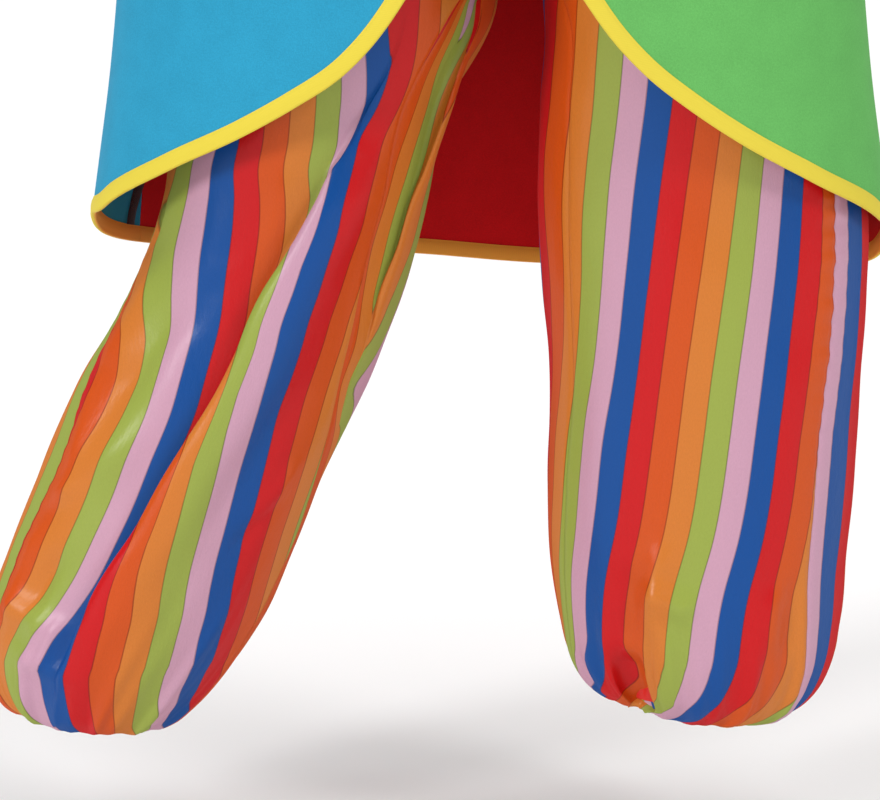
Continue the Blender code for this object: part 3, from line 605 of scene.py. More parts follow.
BACK_CREASES = tuple(Crease(*row) for row in (
    (0.700, 140, 0.560, 60, 20, -4.5),
    (0.640, 150, 0.500, 80, 16, 3.5),
    (0.480, 60, 0.360, 120, 16, -4.0),
    (0.440, 70, 0.340, 130, 13, 3.5),
    (0.320, 60, 0.200, 76, 14, -3.5),
    (0.300, 110, 0.180, 100, 14, 3.5),
    (0.860, 120, 0.760, 70, 22, -3.0),
))
# Where a front panel shows other stripes than its row does: a place, how tall and how wide
# (in radians) it is, and the shift in millimetres.
Shift = namedtuple("Shift", "height turn tall wide shift")
SHIFTS = {
    RIGHT: (Shift(0.545, 0, 0.060, 0.26, 22),),
    LEFT: (Shift(0.118, 126, 0.038, 0.20, -22),),
}
GATHERS = (5, 9, 14)  # waves of gathered cloth across a panel, from the broad to the fine
GATHER_SHARES = (0.5, 0.32, 0.18)

WAIST_FADE, ANKLE_FADE = 0.05, 0.04  # the folds grow from nothing over this far
SEAM_FADE = 0.02  # and over this far beside a seam
CREASE_ENDS = 0.3  # the share of a crease's length over which each end fades
COVERED_FROM = {RIGHT: 0.52, LEFT: 0.47}  # from here up the coat starts to cover the cloth
COVER_REACH = 0.08  # and it covers it fully this much higher
COVER_PRESS = 1.6  # how far covered cloth is pressed in, against the slack waves' height
# The slack waves: their length, where they start, and their share.
SLACK_WAVES = ((0.16, 0.3, 1), (0.07, 2.1, 0.6))
PUCKER_STEPS = (0.017, 0.041)  # the fine and the broad puckers beside the outer seam
PUCKER_DRIFT = 0.043  # the fine ones lie unevenly over this length
PUCKER_FADE = 0.09  # and all of them grow and die away over this one
PUCKER_REACH = 0.014  # how far they reach from the seam
PUCKER_SHARE = {RIGHT: 0.5, LEFT: 1.1}
GROOVE, GROOVE_WIDTH = 0.9 * MM, 2.2 * MM  # the groove along each seam

WAIST_CASING_HEIGHT = 0.032
ANKLE_CASING_HEIGHT = 0.014
CASING_WALL = 3.5 * MM
CASING_INSET = 1.5 * MM
CASING_STEPS, CASING_ROWS = 240, 9
CASING_CLOTH = 2.2 * MM
# How far a casing's gathers stand out, how many there are, how far it bulges, and how far its
# outer face lies from the section's line.
Gathers = namedtuple("Gathers", "depth waves bulge outer")
WAIST_GATHERS = Gathers(0.9 * MM, 76, 1.6 * MM, CASING_WALL / 2 - 1.0 * MM)
ANKLE_GATHERS = Gathers(0.6 * MM, 34, 0.8 * MM, CASING_WALL - CASING_INSET - 0.8 * MM)

# ---------------------------------------------------------------- the cloth's finish and the studio

# The stripes' order, to the wearer's left.
DYES = ("red", "orange", "amber", "green", "pink", "blue")
# The satin's slubs and threads: how wide, how long and how high they are.
SLUBS = ((3.2 * MM, 11 * MM, 0.55 * MM), (0.9 * MM, 2.4 * MM, 0.25 * MM))

FLOOR_SIZE = 120
CAMERA_PLACE = (-0.040, -3.4, -0.48)
CAMERA_TILT = np.radians(80.172)
CAMERA_LENS, CAMERA_SENSOR = 176.45, 36  # in millimetres
# A light's name, turn, tilt and spread in degrees, and its setting.
Light = namedtuple("Light", "name turn tilt spread setting")
LIGHTS = (
    Light("key_light", -42, 69, 14, "key"),
    Light("fill_light", 48, 58, 16, "fill"),
    Light("top_light", 0, 0, 70, "top"),
)

# ---------------------------------------------------------------- settings


def size_setting(name, description, metres):
    """A length that a user can change."""
    return bpy.props.FloatProperty(
        name=name, description=description, default=metres, unit="LENGTH"
    )


def colour_setting(name, description, code):
    """A colour that a user can change, from its hex code."""
    return bpy.props.FloatVectorProperty(
        name=name, description=description, subtype="COLOR", default=linear(code), min=0, max=1
    )


def light_setting(name, description, value):
    """A light's power that a user can change."""
    return bpy.props.FloatProperty(name=name, description=description, default=value)


class CoatSettings(bpy.types.PropertyGroup):
    """Sizes and colours of the coat."""

    felt_thickness: size_setting("Felt thickness", "Thickness of the coat's felt", 1.8 * MM)
    tape_width: size_setting("Tape width", "Width of the binding on each side of the edge", 0.012)
    sway: size_setting("Sway", "Depth of the soft waves in the coat's skirt", 4 * MM)
    right_felt: colour_setting(
        "Right front", "Felt of the wearer's right front and sleeve", "309AC0"
    )
    left_felt: colour_setting(
        "Left front", "Felt of the wearer's left front and sleeve", "69B661"
    )
    back_felt: colour_setting("Back", "Felt of the back", "DC1C22")
    tape: colour_setting("Binding", "Folded tape round the edges", "E8D246")
    # painted shade: the same yellow tape, coloured orange as it looks in the coat's red-lit shade
    tape_inside: colour_setting("Binding inside", "The half of the tape inside the coat", "FFB446")
    overlock: colour_setting("Overlocking", "Thread over the side seams' raw edges", "2A0B12")


class TrouserSettings(bpy.types.PropertyGroup):
    """Sizes and colours of the trousers."""

    satin_thickness: size_setting("Satin thickness", "Thickness of the trousers' satin", 0.6 * MM)
    stripe: size_setting("Stripe", "Width of one stripe", 0.020)
    slackness: size_setting("Slackness", "Height of the satin's low waves", 1.1 * MM)
    pucker: size_setting("Pucker", "Height of the puckers beside the seams", 0.8 * MM)
    red: colour_setting("Red", "First stripe", "C80E14")
    orange: colour_setting("Orange", "Second stripe", "CE5014")
    amber: colour_setting("Amber", "Third stripe", "D0782E")
    green: colour_setting("Green", "Fourth stripe", "98A648")
    pink: colour_setting("Pink", "Fifth stripe", "CA9AB0")
    blue: colour_setting("Blue", "Sixth stripe", "064A94")
    casing: colour_setting("Casings", "Elastic casings at the waist and ankles", "D9302A")


class StudioSettings(bpy.types.PropertyGroup):
    """The floor, the lights and the surround."""

    floor: colour_setting("Floor", "Plain pale floor", "F4F4F4")
    key: light_setting("Key light", "Power of the main soft light", 1.25)
    fill: light_setting("Fill light", "Power of the light from the other side", 0.75)
    top: light_setting("Top light", "Power of the light overhead", 2.0)
    surround: light_setting("Surround", "Strength of the even light", 0.26)


# ---------------------------------------------------------------- finishes


def add_node(material, kind, inputs, give=None, into=None, **fields):
    """Adds a node, sets its fields and fills its inputs: a socket is linked, the rest are values.

    give names the output that is returned in the node's place, and into the input it is linked to.
    """
    tree = material.node_tree
    node = tree.nodes.new(kind)
    for field, value in fields.items():
        setattr(node, field, value)
    for socket, value in inputs.items():
        if isinstance(value, bpy.types.NodeSocket):
            tree.links.new(value, node.inputs[socket])
        else:
            node.inputs[socket].default_value = value
    if into is not None:
        tree.links.new(node.outputs[give], into)
    return node if give is None else node.outputs[give]


MATH, MAP, NOISE, BUMP = ("ShaderNode" + kind for kind in ("Math", "MapRange", "TexNoise", "Bump"))


def finish(name, roughness, specular, sheen):
    """A new material, with the constants set on the shader's own sockets."""
    material = bpy.data.materials.new(name)
    material.use_nodes = True
    shader = material.node_tree.nodes["Principled BSDF"]
    shader.inputs["Roughness"].default_value = roughness
    shader.inputs["Specular IOR Level"].default_value = specular
    shader.inputs["Sheen Weight"].default_value = sheen
    shader.inputs["Sheen Roughness"].default_value = 0.5
    return material, shader


def cloth_place(material):
    """Where a point lies on the cloth, in metres across and along it."""
    uv = add_node(material, "ShaderNodeTexCoord", {}, "UV")
    place = add_node(material, "ShaderNodeSeparateXYZ", {0: uv})
    return place.outputs["X"], place.outputs["Y"]


def tint(material, shader, colour, shade, low, high):
    """Varies a colour's brightness between two factors as shade goes from 0 to 1."""
    factor = add_node(material, MAP, {"Value": shade, "To Min": low, "To Max": high}, "Result")
    add_node(
        material, "ShaderNodeVectorMath", {0: colour, 3: factor}, "Vector",
        shader.inputs["Base Color"], operation="SCALE",
    )


def felt(name, colour):
    """Smooth pressed felt: matt, with a very fine grain and faint cloudiness."""
    material, shader = finish(name, 0.95, 0.10, 0.04)
    place = add_node(material, "ShaderNodeTexCoord", {}, "Object")
    grain, cloud = (
        add_node(material, NOISE, {"Vector": place, "Scale": scale, "Detail": detail}, "Fac")
        for scale, detail in ((900, 3), (40, 2))
    )
    part = add_node(material, MATH, {0: cloud, 1: 0.3}, 0, operation="MULTIPLY")
    shade = add_node(material, MATH, {0: grain, 1: 0.7, 2: part}, 0, operation="MULTIPLY_ADD")
    tint(material, shader, colour, shade, 0.72, 1.28)
    nap = {"Height": grain, "Strength": 0.35, "Distance": 0.4 * MM}
    add_node(material, BUMP, nap, "Normal", shader.inputs["Normal"])
    return material


def stitched_tape(name, colour, inner, width):
    """Woven binding tape, folded in half, with a line of stitches inside each edge.

    Its uv runs across (u, from the outer edge over the fold at width to the inner edge) and
    along (v). The half inside the coat is painted in its own orange, a painted shade of the same
    yellow tape with the red felt's light in it.
    """
    material, shader = finish(name, 0.75, 0.20, 0.05)
    across, along = cloth_place(material)
    ribs = add_node(material, MATH, {0: along, 1: 1 / RIB}, 0, operation="MULTIPLY")
    rib = add_node(material, MATH, {0: ribs, 1: 1.0}, 0, operation="PINGPONG")
    from_edge = add_node(material, MATH, {0: across, 1: width}, 0, operation="PINGPONG")
    off = add_node(material, MATH, {0: from_edge, 1: STITCH_INSET}, 0, operation="SUBTRACT")
    off_line = add_node(material, MATH, {0: off}, 0, operation="ABSOLUTE")
    on_line = add_node(material, MATH, {0: off_line, 1: STITCH_HALF_WIDTH}, 0, operation="LESS_THAN")
    stitches = add_node(material, MATH, {0: along, 1: 1 / STITCH}, 0, operation="MULTIPLY")
    step = add_node(material, MATH, {0: stitches}, 0, operation="FRACT")
    sewn = add_node(material, MATH, {0: step, 1: STITCH_SHARE}, 0, operation="LESS_THAN")
    thread = add_node(material, MATH, {0: on_line, 1: sewn}, 0, operation="MULTIPLY")
    # painted shade darkens the sunken line of stitches, and painted highlight lightens the thread in
    # it and the crests of the ribs
    rib_relief_and_light = add_node(material, MATH, {0: rib, 1: 0.25}, 0, operation="MULTIPLY")
    painted_stitch_shade = add_node(material, MATH, {0: on_line, 1: -0.9, 2: rib_relief_and_light}, 0, operation="MULTIPLY_ADD")
    shade = add_node(material, MATH, {0: thread, 1: 0.45, 2: painted_stitch_shade}, 0, operation="MULTIPLY_ADD")
    # past the fold the tape takes the inner colour, a painted shade of its own yellow
    past_fold = {"Value": across, "From Min": 1.02 * width, "From Max": 1.12 * width}
    inside = add_node(material, MAP, past_fold, "Result")
    dyes = {"Factor": inside, 6: (*colour, 1), 7: (*inner, 1)}
    tape_and_painted_shade = add_node(material, "ShaderNodeMix", dyes, 2, data_type="RGBA")
    tint(material, shader, tape_and_painted_shade, shade, 0.95, 1.15)
    height = add_node(material, MATH, {0: rib_relief_and_light, 1: thread}, 0, operation="ADD")
    weave = {"Height": height, "Strength": 0.5, "Distance": 0.25 * MM}
    add_node(material, BUMP, weave, "Normal", shader.inputs["Normal"])
    return material


def overlock_thread(name, colour):
    """Dark thread wound over a raw edge, a loop every 1.6 mm."""
    material, shader = finish(name, 0.7, 0.3, 0.2)
    across, along = cloth_place(material)
    slant = add_node(material, MATH, {0: across, 1: 0.4, 2: along}, 0, operation="MULTIPLY_ADD")
    loops = add_node(material, MATH, {0: slant, 1: 1 / RIB}, 0, operation="MULTIPLY")
    loop = add_node(material, MATH, {0: loops, 1: 1.0}, 0, operation="PINGPONG")
    # painted light and shade: each loop is lighter at its crest and darker where it dips, as its
    # relief would be lit
    tint(material, shader, colour, loop, 0.6, 1.6)
    ridge = {"Height": loop, "Strength": 0.9, "Distance": 0.6 * MM}
    add_node(material, BUMP, ridge, "Normal", shader.inputs["Normal"])
    return material


def satin_weave(material, shader, across, down, strength):
    """The fine weave and slubs that make satin glitter. Returns the slubs, from 0 to 1, which the
    callers also paint into the colour as a glint.

    Both are drawn far coarser than the real threads, which are too fine to show.
    """
    relief = {"Strength": strength}
    for wide, long, depth in SLUBS:
        cell = {
            axis: add_node(material, MATH, {0: part, 1: 1 / size}, 0, operation="MULTIPLY")
            for axis, part, size in ((0, across, wide), (1, down, long))
        }
        cell = add_node(material, "ShaderNodeCombineXYZ", cell, 0)
        slub = add_node(material, NOISE, {"Vector": cell, "Scale": 1.0, "Detail": 2}, "Fac")
        relief = {**relief, "Height": slub, "Distance": depth}
        relief["Normal"] = add_node(material, BUMP, relief, "Normal")
    material.node_tree.links.new(relief["Normal"], shader.inputs["Normal"])
    # threads seen edge on are fuzzy, and don't mirror what lies behind
    edge_on = add_node(material, "ShaderNodeLayerWeight", {"Blend": 0.5}, "Facing")
    roughness = shader.inputs["Roughness"]
    gloss = {
        "Value": edge_on, "From Min": 0.40, "From Max": 0.85,
        "To Min": roughness.default_value, "To Max": 0.95,
    }
    add_node(material, MAP, gloss, "Result", roughness)
    return slub


def striped_satin(name, colours, stripe):
    """Satin woven in six vertical stripes, with a thin dark line between the stripes."""
    material, shader = finish(name, 0.33, 0.26, 0.0)
    across, down = cloth_place(material)
    rate = 1 / (stripe * len(colours))
    repeats = add_node(material, MATH, {0: across, 1: rate}, 0, operation="MULTIPLY")
    share = add_node(material, MATH, {0: repeats}, 0, operation="FRACT")
    ramp = add_node(material, "ShaderNodeValToRGB", {"Fac": share})
    bands = ramp.color_ramp
    bands.interpolation = "CONSTANT"
    while len(bands.elements) < len(colours):
        bands.elements.new(0.5)
    for number, colour in enumerate(colours):
        bands.elements[number].position = number / len(colours)
        bands.elements[number].color = (*colour, 1)
    border = add_node(material, MATH, {0: across, 1: stripe / 2}, 0, operation="PINGPONG")
    dark_line = {
        "Value": border, "From Min": 0.25 * MM, "From Max": 0.75 * MM,
        "To Min": 0.55, "To Max": 1.0,
    }
    line = add_node(material, MAP, dark_line, "Result")
    slub = satin_weave(material, shader, across, down, 0.40)
    # painted glint: the slubs lighten the stripes' colour where they would catch the light
    painted_glint = add_node(material, MATH, {0: slub, 1: 0.16, 2: 0.92}, 0, operation="MULTIPLY_ADD")
    shade = add_node(material, MATH, {0: line, 1: painted_glint}, 0, operation="MULTIPLY")
    add_node(
        material, "ShaderNodeVectorMath", {0: ramp.outputs["Color"], 3: shade}, "Vector",
        shader.inputs["Base Color"], operation="SCALE",
    )
    return material


def plain_satin(name, colour):
    """The same satin in one colour, for the casings."""
    material, shader = finish(name, 0.34, 0.26, 0.0)
    slub = satin_weave(material, shader, *cloth_place(material), 0.25)
    # painted glint: the slubs lighten and darken the casing's colour, as on the stripes
    tint(material, shader, colour, slub, 0.9, 1.1)
    return material


# ---------------------------------------------------------------- the coat's shape


def coat_points(flat):
    """The coat's outer face at (turn, height): turn is 0 at centre front, 180 at centre back."""
    turn, height = np.radians(flat[..., 0]), flat[..., 1]
    x = column(COAT, "half_width", height) * np.sin(turn)
    front = column(COAT, "front_depth", height)
    back = column(COAT, "back_depth", height)
    depth = -np.cos(turn) * np.where(np.cos(turn) > 0, front, back)
    (neck_x, neck_z), (shoulder_x, shoulder_z) = NECK_POINT, SHOULDER_POINT
    slope = (neck_z - shoulder_z) / (shoulder_x - neck_x)
    below_seam = neck_z - slope * (np.abs(x) - neck_x) - height
    full = np.clip(below_seam / SHOULDER_ROUND, 0, 1)
    return np.stack([x, depth * np.sqrt(1 - (1 - full) ** 2), height], axis=-1)


def turn_of(across, height):
    """The turn at which the coat's front reaches a distance across."""
    return np.degrees(np.arcsin(np.clip(across / column(COAT, "half_width", height), -1, 1)))


def row_shares():
    """How far up a coat panel each of its rows lies: closer together towards the top."""
    return 1 - (1 - np.linspace(0, 1, COAT_ROWS)) ** ROW_CROWDING


def filled(start, end, left, right, lag=1):
    """(turn, height) points inside four borders.

    start and end run the same way, and left and right join them.
    """
    u = np.linspace(0, 1, len(start))[None, :, None]
    v = row_shares()[:, None, None] ** np.array([lag, 1])
    ruled = (1 - v) * start[None] + v * end[None] + (1 - u) * left[:, None] + u * right[:, None]
    low, high = ((1 - u) * line[0] + u * line[-1] for line in (start, end))
    return ruled - ((1 - v) * low + v * high)


def side_seam_turn(side, height):
    """The turn of a side seam, counted from centre front towards that side."""
    height = np.asarray(height, float)
    if side > 0:
        return 90 + 0 * height
    return 90 + np.maximum(column(RIGHT_SEAM_SWING, "swing", height), 0)


def seam_gap(turn, height):
    """Half of the seam's gap, as a turn."""
    flat = np.stack([turn, height], axis=-1)
    step = coat_points(flat + (1, 0)) - coat_points(flat)
    return SEAM / 2 / np.linalg.norm(step, axis=-1)


def hem_height(turn):
    """The height of the back's hem at a turn."""
    return column(BACK_HEM, "height", turn, by="turn")


def right_seam_foot():
    """The lower end of the right side seam, as (turn, height)."""
    turn = side_seam_turn(-1, hem_height(270))
    return float(turn), float(hem_height(360 - turn))


def lower_edge(side):
    """A front's whole lower edge from the neck to its side seam, as (turn, height)."""
    heights = [row.right_height if side < 0 else row.left_height for row in FRONT_EDGE]
    count = FRONT_COLUMNS - (SWING_COLUMNS if side < 0 else 0)
    edge = evenly(list(zip([row.across for row in FRONT_EDGE], heights)), count)
    edge[:, 0] = turn_of(np.maximum(edge[:, 0], EDGE_INSET), edge[:, 1])
    edge[-1, 0] = 90
    if side > 0:
        return edge
    foot = right_seam_foot()
    turns = np.linspace(90, foot[0], SWING_COLUMNS + 1)[1:]
    beyond = np.stack([turns, hem_height(360 - turns)], axis=1)
    return np.concatenate([edge, beyond])


def swung_back(flat):
    """The back's (turn, height) points once the right side seam has swung over to the back."""
    share = np.clip((flat[..., 0] - SWING_START) / (270 - SWING_START), 0, 1)
    swing = side_seam_turn(-1, flat[..., 1]) - 90
    return np.stack([flat[..., 0] - swing * share, flat[..., 1]], axis=-1)


def shoulder_seam(count):
    """The shoulder seam from the neck to the armhole, as (turn, height)."""
    across = np.linspace(NECK_POINT[0], SHOULDER_POINT[0], count)
    height = np.linspace(NECK_POINT[1], SHOULDER_POINT[1], count)
    return np.stack([turn_of(across, height), height], axis=1)


def front_armhole():
    """The armhole's front half from the shoulder to the side seam, as (turn, height)."""
    swing = np.cos(np.linspace(0, np.pi, ARMHOLE_COLUMNS))
    top, bottom = SHOULDER_POINT[1], UNDERARM_HEIGHT
    height = (top + bottom) / 2 + (top - bottom) / 2 * swing
    return np.stack([turn_of(ARMHOLE_X, height), height], axis=1)


def set_armhole(outer, normals, side):
    """Brings a panel's armhole points, and the wall's thickness there, into the armhole's plane."""
    outer[:, 0] = side * ARMHOLE_X
    normals[:, 0] = 0
    length = np.linalg.norm(normals, axis=1, keepdims=True)
    normals /= length * np.maximum(length, 1 / RIM_STRETCH)


def with_edge_rows(flat):
    """The (turn, height) grid with rows that follow its first row at the distances in EDGE_ROWS."""
    points = coat_points(flat)
    reach = travelled(points, 0)
    inward = unit(points[1] - points[0])
    edge = unit(np.gradient(points[0], axis=0))
    slant = np.linalg.norm(np.cross(inward, edge), axis=1)
    rows = [flat[0]]
    for distance in EDGE_ROWS:
        want = distance / slant
        rows.append(np.array([
            [np.interp(want[n], reach[:, n], flat[:, n, part]) for part in (0, 1)]
            for n in range(flat.shape[1])
        ]))
    # the first inner row that lies clear of the edge's own rows, all along the edge
    clear = int(np.argmax((reach > EDGE_ROWS[-1] * 1.15 / slant).all(axis=1)))
    return np.concatenate([np.stack(rows), flat[clear:]])


def coat_normals(flat):
    """Normals of the coat's outer face at (turn, height)."""
    turn, rise = NORMAL_STEP
    around = coat_points(flat + (turn, 0)) - coat_points(flat - (turn, 0))
    up = coat_points(flat + (0, rise)) - coat_points(flat - (0, rise))
    return unit(np.cross(around, up))


def coat_sway(flat, depth):
    """How far the skirt's soft waves stand out from the coat's plain form."""
    turn, height = np.radians(flat[..., 0]), flat[..., 1]
    low = ease((SWAY_TOP - height) / SWAY_REACH) ** 1.3
    wave = 0.5 + 0.5 * np.sin(5 * turn + 0.9 * np.sin(2 * turn) + 1.3) * np.cos(2 * turn - 0.4)
    fine = 0.5 + 0.5 * np.sin(11 * turn + 3.1 * np.sin(3 * turn) + 6 * height)
    return depth * low * (0.75 * wave + 0.25 * fine)


def coat_front(side, sway):
    """Outer face and normals of one front panel."""
    edge = lower_edge(side)
    top = np.concatenate([shoulder_seam(SHOULDER_COLUMNS)[:-1], front_armhole()])
    bend = row_shares() * np.pi / 2
    rise = FRONT_NECK_HEIGHT + (NECK_POINT[1] - FRONT_NECK_HEIGHT) * (1 - np.cos(bend))
    across = EDGE_INSET + (NECK_POINT[0] - EDGE_INSET) * np.sin(bend)
    neck = np.stack([turn_of(across, rise), rise], axis=1)
    seam_heights = edge[-1, 1] + (UNDERARM_HEIGHT - edge[-1, 1]) * row_shares()
    side_seam = np.stack([side_seam_turn(side, seam_heights), seam_heights], axis=1)
    side_seam[0] = edge[-1]
    flat = with_edge_rows(filled(edge, top, neck, side_seam))
    normals = coat_normals(flat)
    flat[:, -1, 0] -= seam_gap(flat[:, -1, 0], flat[:, -1, 1])
    outer = coat_points(flat) + normals * coat_sway(flat, sway)[..., None]
    outer[-1, :SHOULDER_COLUMNS, 1] = -SEAM / 2
    outer[-1, -1, 1] = -SEAM / 2
    normals[-1, -1, 1] = 0
    normals[-1, :SHOULDER_COLUMNS, 1] = 0
    normals = unit(normals)
    set_armhole(outer[-1, SHOULDER_COLUMNS - 1:], normals[-1, SHOULDER_COLUMNS - 1:], 1)
    mirror = np.array([side, 1, 1])
    return outer * mirror, normals * mirror


def coat_back(sway):
    """Outer face and normals of the back, from the left side seam round to the right one."""
    shoulder, neck = ARMHOLE_COLUMNS - 1, ARMHOLE_COLUMNS + SHOULDER_COLUMNS - 2
    last = BACK_COLUMNS - 1
    turns = np.interp(
        np.arange(BACK_COLUMNS),
        (0, shoulder, neck, last - neck, last - shoulder, last),
        (90, BACK_SPREAD[0], BACK_SPREAD[1], 360 - BACK_SPREAD[1], 360 - BACK_SPREAD[0], 270),
    )
    level = np.full(BACK_COLUMNS, right_seam_foot()[1])
    hem = np.stack([turns, hem_height(swung_back(np.stack([turns, level], axis=1))[:, 0])], axis=1)
    half = [front_armhole()[::-1], shoulder_seam(SHOULDER_COLUMNS)[-2::-1]]
    left_top = np.concatenate(half) * (-1, 1) + (180, 0)
    right_top = (np.array([360, 0]) + left_top * (-1, 1))[::-1]
    bend = np.linspace(-np.pi / 2, np.pi / 2, BACK_COLUMNS + 2 - 2 * len(left_top))[1:-1]
    dip = NECK_POINT[1] + (BACK_NECK_HEIGHT - NECK_POINT[1]) * np.cos(bend)
    neckline = np.stack([180 + turn_of(NECK_POINT[0] * np.sin(bend), dip), dip], axis=1)
    top = np.concatenate([left_top, neckline, right_top])
    seams = []
    for end in (0, -1):
        heights = hem[end, 1] + (UNDERARM_HEIGHT - hem[end, 1]) * row_shares()
        seams.append(np.stack([np.full(COAT_ROWS, hem[end, 0]), heights], axis=1))
    flat = swung_back(filled(hem, top, *seams, lag=BACK_LAG))
    foot = right_seam_foot()
    flat[0, -1] = (360 - foot[0], foot[1])
    flat = with_edge_rows(flat)
    normals = coat_normals(flat)
    for end, way in ((0, 1), (-1, -1)):
        flat[:, end, 0] += way * seam_gap(flat[:, end, 0], flat[:, end, 1])
    mirrored = np.stack([180 - np.abs(flat[..., 0] - 180), flat[..., 1]], axis=-1)
    outer = coat_points(flat) + normals * coat_sway(mirrored, sway)[..., None]
    shoulders = slice(len(front_armhole()) - 1, len(left_top))
    for top_row, depth in ((outer[-1], SEAM / 2), (normals[-1], 0)):
        for edge in (top_row[:1], top_row[-1:], top_row[shoulders], top_row[::-1][shoulders]):
            edge[:, 1] = depth
    normals = unit(normals)
    for side, columns in ((1, slice(0, ARMHOLE_COLUMNS)), (-1, slice(-ARMHOLE_COLUMNS, None))):
        set_armhole(outer[-1, columns], normals[-1, columns], side)
    return outer, normals


def resampled(curves, step):
    """Curves that run side by side, as (point, curve), read every step along the first of them."""
    reach = travelled(curves[:, :1], 0)[:, 0]
    at = np.linspace(0, reach[-1], int(reach[-1] / step) + 1)
    return np.stack([
        np.stack([smooth(reach, curves[:, n, part], at) for part in range(3)], axis=-1)
        for n in range(curves.shape[1])
    ], axis=1)


def tape_grid(outer, normals, felt_thickness, width):
    """The binding's outer face, folded over a panel's first row.

    Its rows lie along the edge, and its columns run from the outer side over to the inner one.
    """
    rows = len(EDGE_ROWS) + 1
    reach = np.array((0, *EDGE_ROWS))
    stretch = np.linspace(0, width, TAPE_POINTS)[::-1]

    def side(inset, clear):
        lines = []
        for distance in stretch:
            share = np.interp(distance, reach, np.arange(rows))
            low = min(int(share), rows - 2)
            part = share - low
            point = outer[low] * (1 - part) + outer[low + 1] * part
            normal = unit(normals[low] * (1 - part) + normals[low + 1] * part)
            # the tape is full in the middle, its own edge is pressed down and a groove holds the
            # stitches
            full = TAPE_PUFF * bump_at(distance - width * 0.45, width * 0.3)
            pressed = TAPE_PRESSED * bump_at(distance - width, 1.2 * MM)
            groove = TAPE_GROOVE * bump_at(distance - (width - STITCH_INSET), 0.8 * MM)
            rise = clear + (full - pressed - groove) * MM
            lines.append(point - normal * inset + normal * rise * (1 if inset == 0 else -1))
        return lines

    clear = SEAM + TAPE
    front = side(0, clear)
    back = side(felt_thickness, clear)[::-1]
    outward = unit(outer[0] - outer[1])
    edge = unit(np.gradient(outer[0], axis=0))
    slant = np.linalg.norm(np.cross(outward, edge), axis=1, keepdims=True)
    middle = outer[0] - normals[0] * felt_thickness / 2
    half = felt_thickness / 2 + clear
    round_edge = [
        middle + normals[0] * half * np.cos(bend) + outward * (clear / slant) * np.sin(bend)
        for bend in TAPE_FOLD
    ]
    return np.stack([*front, *round_edge, *back], axis=1)


def sleeve_grid(side, front, front_normals, back, back_normals, sway):
    """Outer face and normals of a sleeve, from the armhole of the two panels to the cuff."""
    ahead = slice(-ARMHOLE_COLUMNS, None)
    behind = slice(1, ARMHOLE_COLUMNS - 1) if side > 0 else slice(-2, -ARMHOLE_COLUMNS, -1)
    mirror = np.array([side, 1, 1])
    loop = np.concatenate([front[-1, ahead], back[-1, behind]]) * mirror
    rim = np.concatenate([front_normals[-1, ahead], back_normals[-1, behind]]) * mirror
    loop[[0, ARMHOLE_COLUMNS - 1], 1] = 0
    middle = (loop.max(axis=0) + loop.min(axis=0)) / 2
    local = loop - middle
    angle = np.arctan2(local[:, 1], local[:, 2])
    rings = [loop + (SEAM, 0, 0)]
    length = SLEEVE[-1].along
    alongs = np.linspace(0, length, int(length / SLEEVE_STEP) + 1)[1:]
    for along in alongs:
        curved = max(along - SLEEVE_LEAD, 0)
        bend = min(curved / SLEEVE_BEND_RADIUS, SLEEVE_BEND)
        straight = max(curved - SLEEVE_BEND * SLEEVE_BEND_RADIUS, 0)
        path = np.array([np.cos(bend), 0, -np.sin(bend)])
        up = np.array([np.sin(bend), 0, np.cos(bend)])
        arc = SLEEVE_BEND_RADIUS * np.array([np.sin(bend), 0, np.cos(bend) - 1])
        centre = middle + (min(along, SLEEVE_LEAD), 0, 0) + arc + path * straight
        kept = max(1 - along / SLEEVE_BLEND, 0)
        half_height, half_depth = (
            column(SLEEVE, name, along, by="along") for name in ("half_height", "half_depth")
        )
        height = kept * local[:, 2] + (1 - kept) * half_height * np.cos(angle)
        ring = centre + height[:, None] * up
        ring[:, 1] += kept * local[:, 1] + (1 - kept) * half_depth * np.sin(angle)
        rings.append(ring)
    outer = np.stack(rings)
    normals = face_normals(outer, closed=True)
    down = np.concatenate([[0], alongs])[:, None]
    fade = ease(down / SLEEVE_FADES[0]) * ease((length - down) / SLEEVE_FADES[1])
    folds = sway * ripple(outer, SLEEVE_WAVE, SLEEVE_TURN)
    # the cloth bunches below the bend, under the arm
    under = np.clip(-np.cos(angle), 0, 1)[None] ** 2
    bunch = bump_at(down - BUNCH_PLACE, BUNCH_REACH)
    folds = folds + 0.8 * sway * under * bunch * np.sin(down / BUNCH_STEP * 2 * np.pi)
    stitches = -0.7 * MM * bump_at(down - (length - SLEEVE_HEM), 1.5 * MM)
    outer = outer + normals * (folds * fade + stitches)[..., None]
    cap = -0.8 * MM * bump_at(down - 0.001, 3 * MM)
    outer[1:] += (normals * cap[..., None])[1:]
    normals[0] = rim
    return outer * mirror, normals * mirror


# ---------------------------------------------------------------- the trousers' shape


def middle_seam(height):
    """Where the middle seam lies across the body: it leans to one side at the crotch."""
    down = np.clip((WAIST_HEIGHT - height) / (WAIST_HEIGHT - CROTCH_HEIGHT), 0, 1)
    return CROTCH_X * down**2 * (3 - 2 * down)


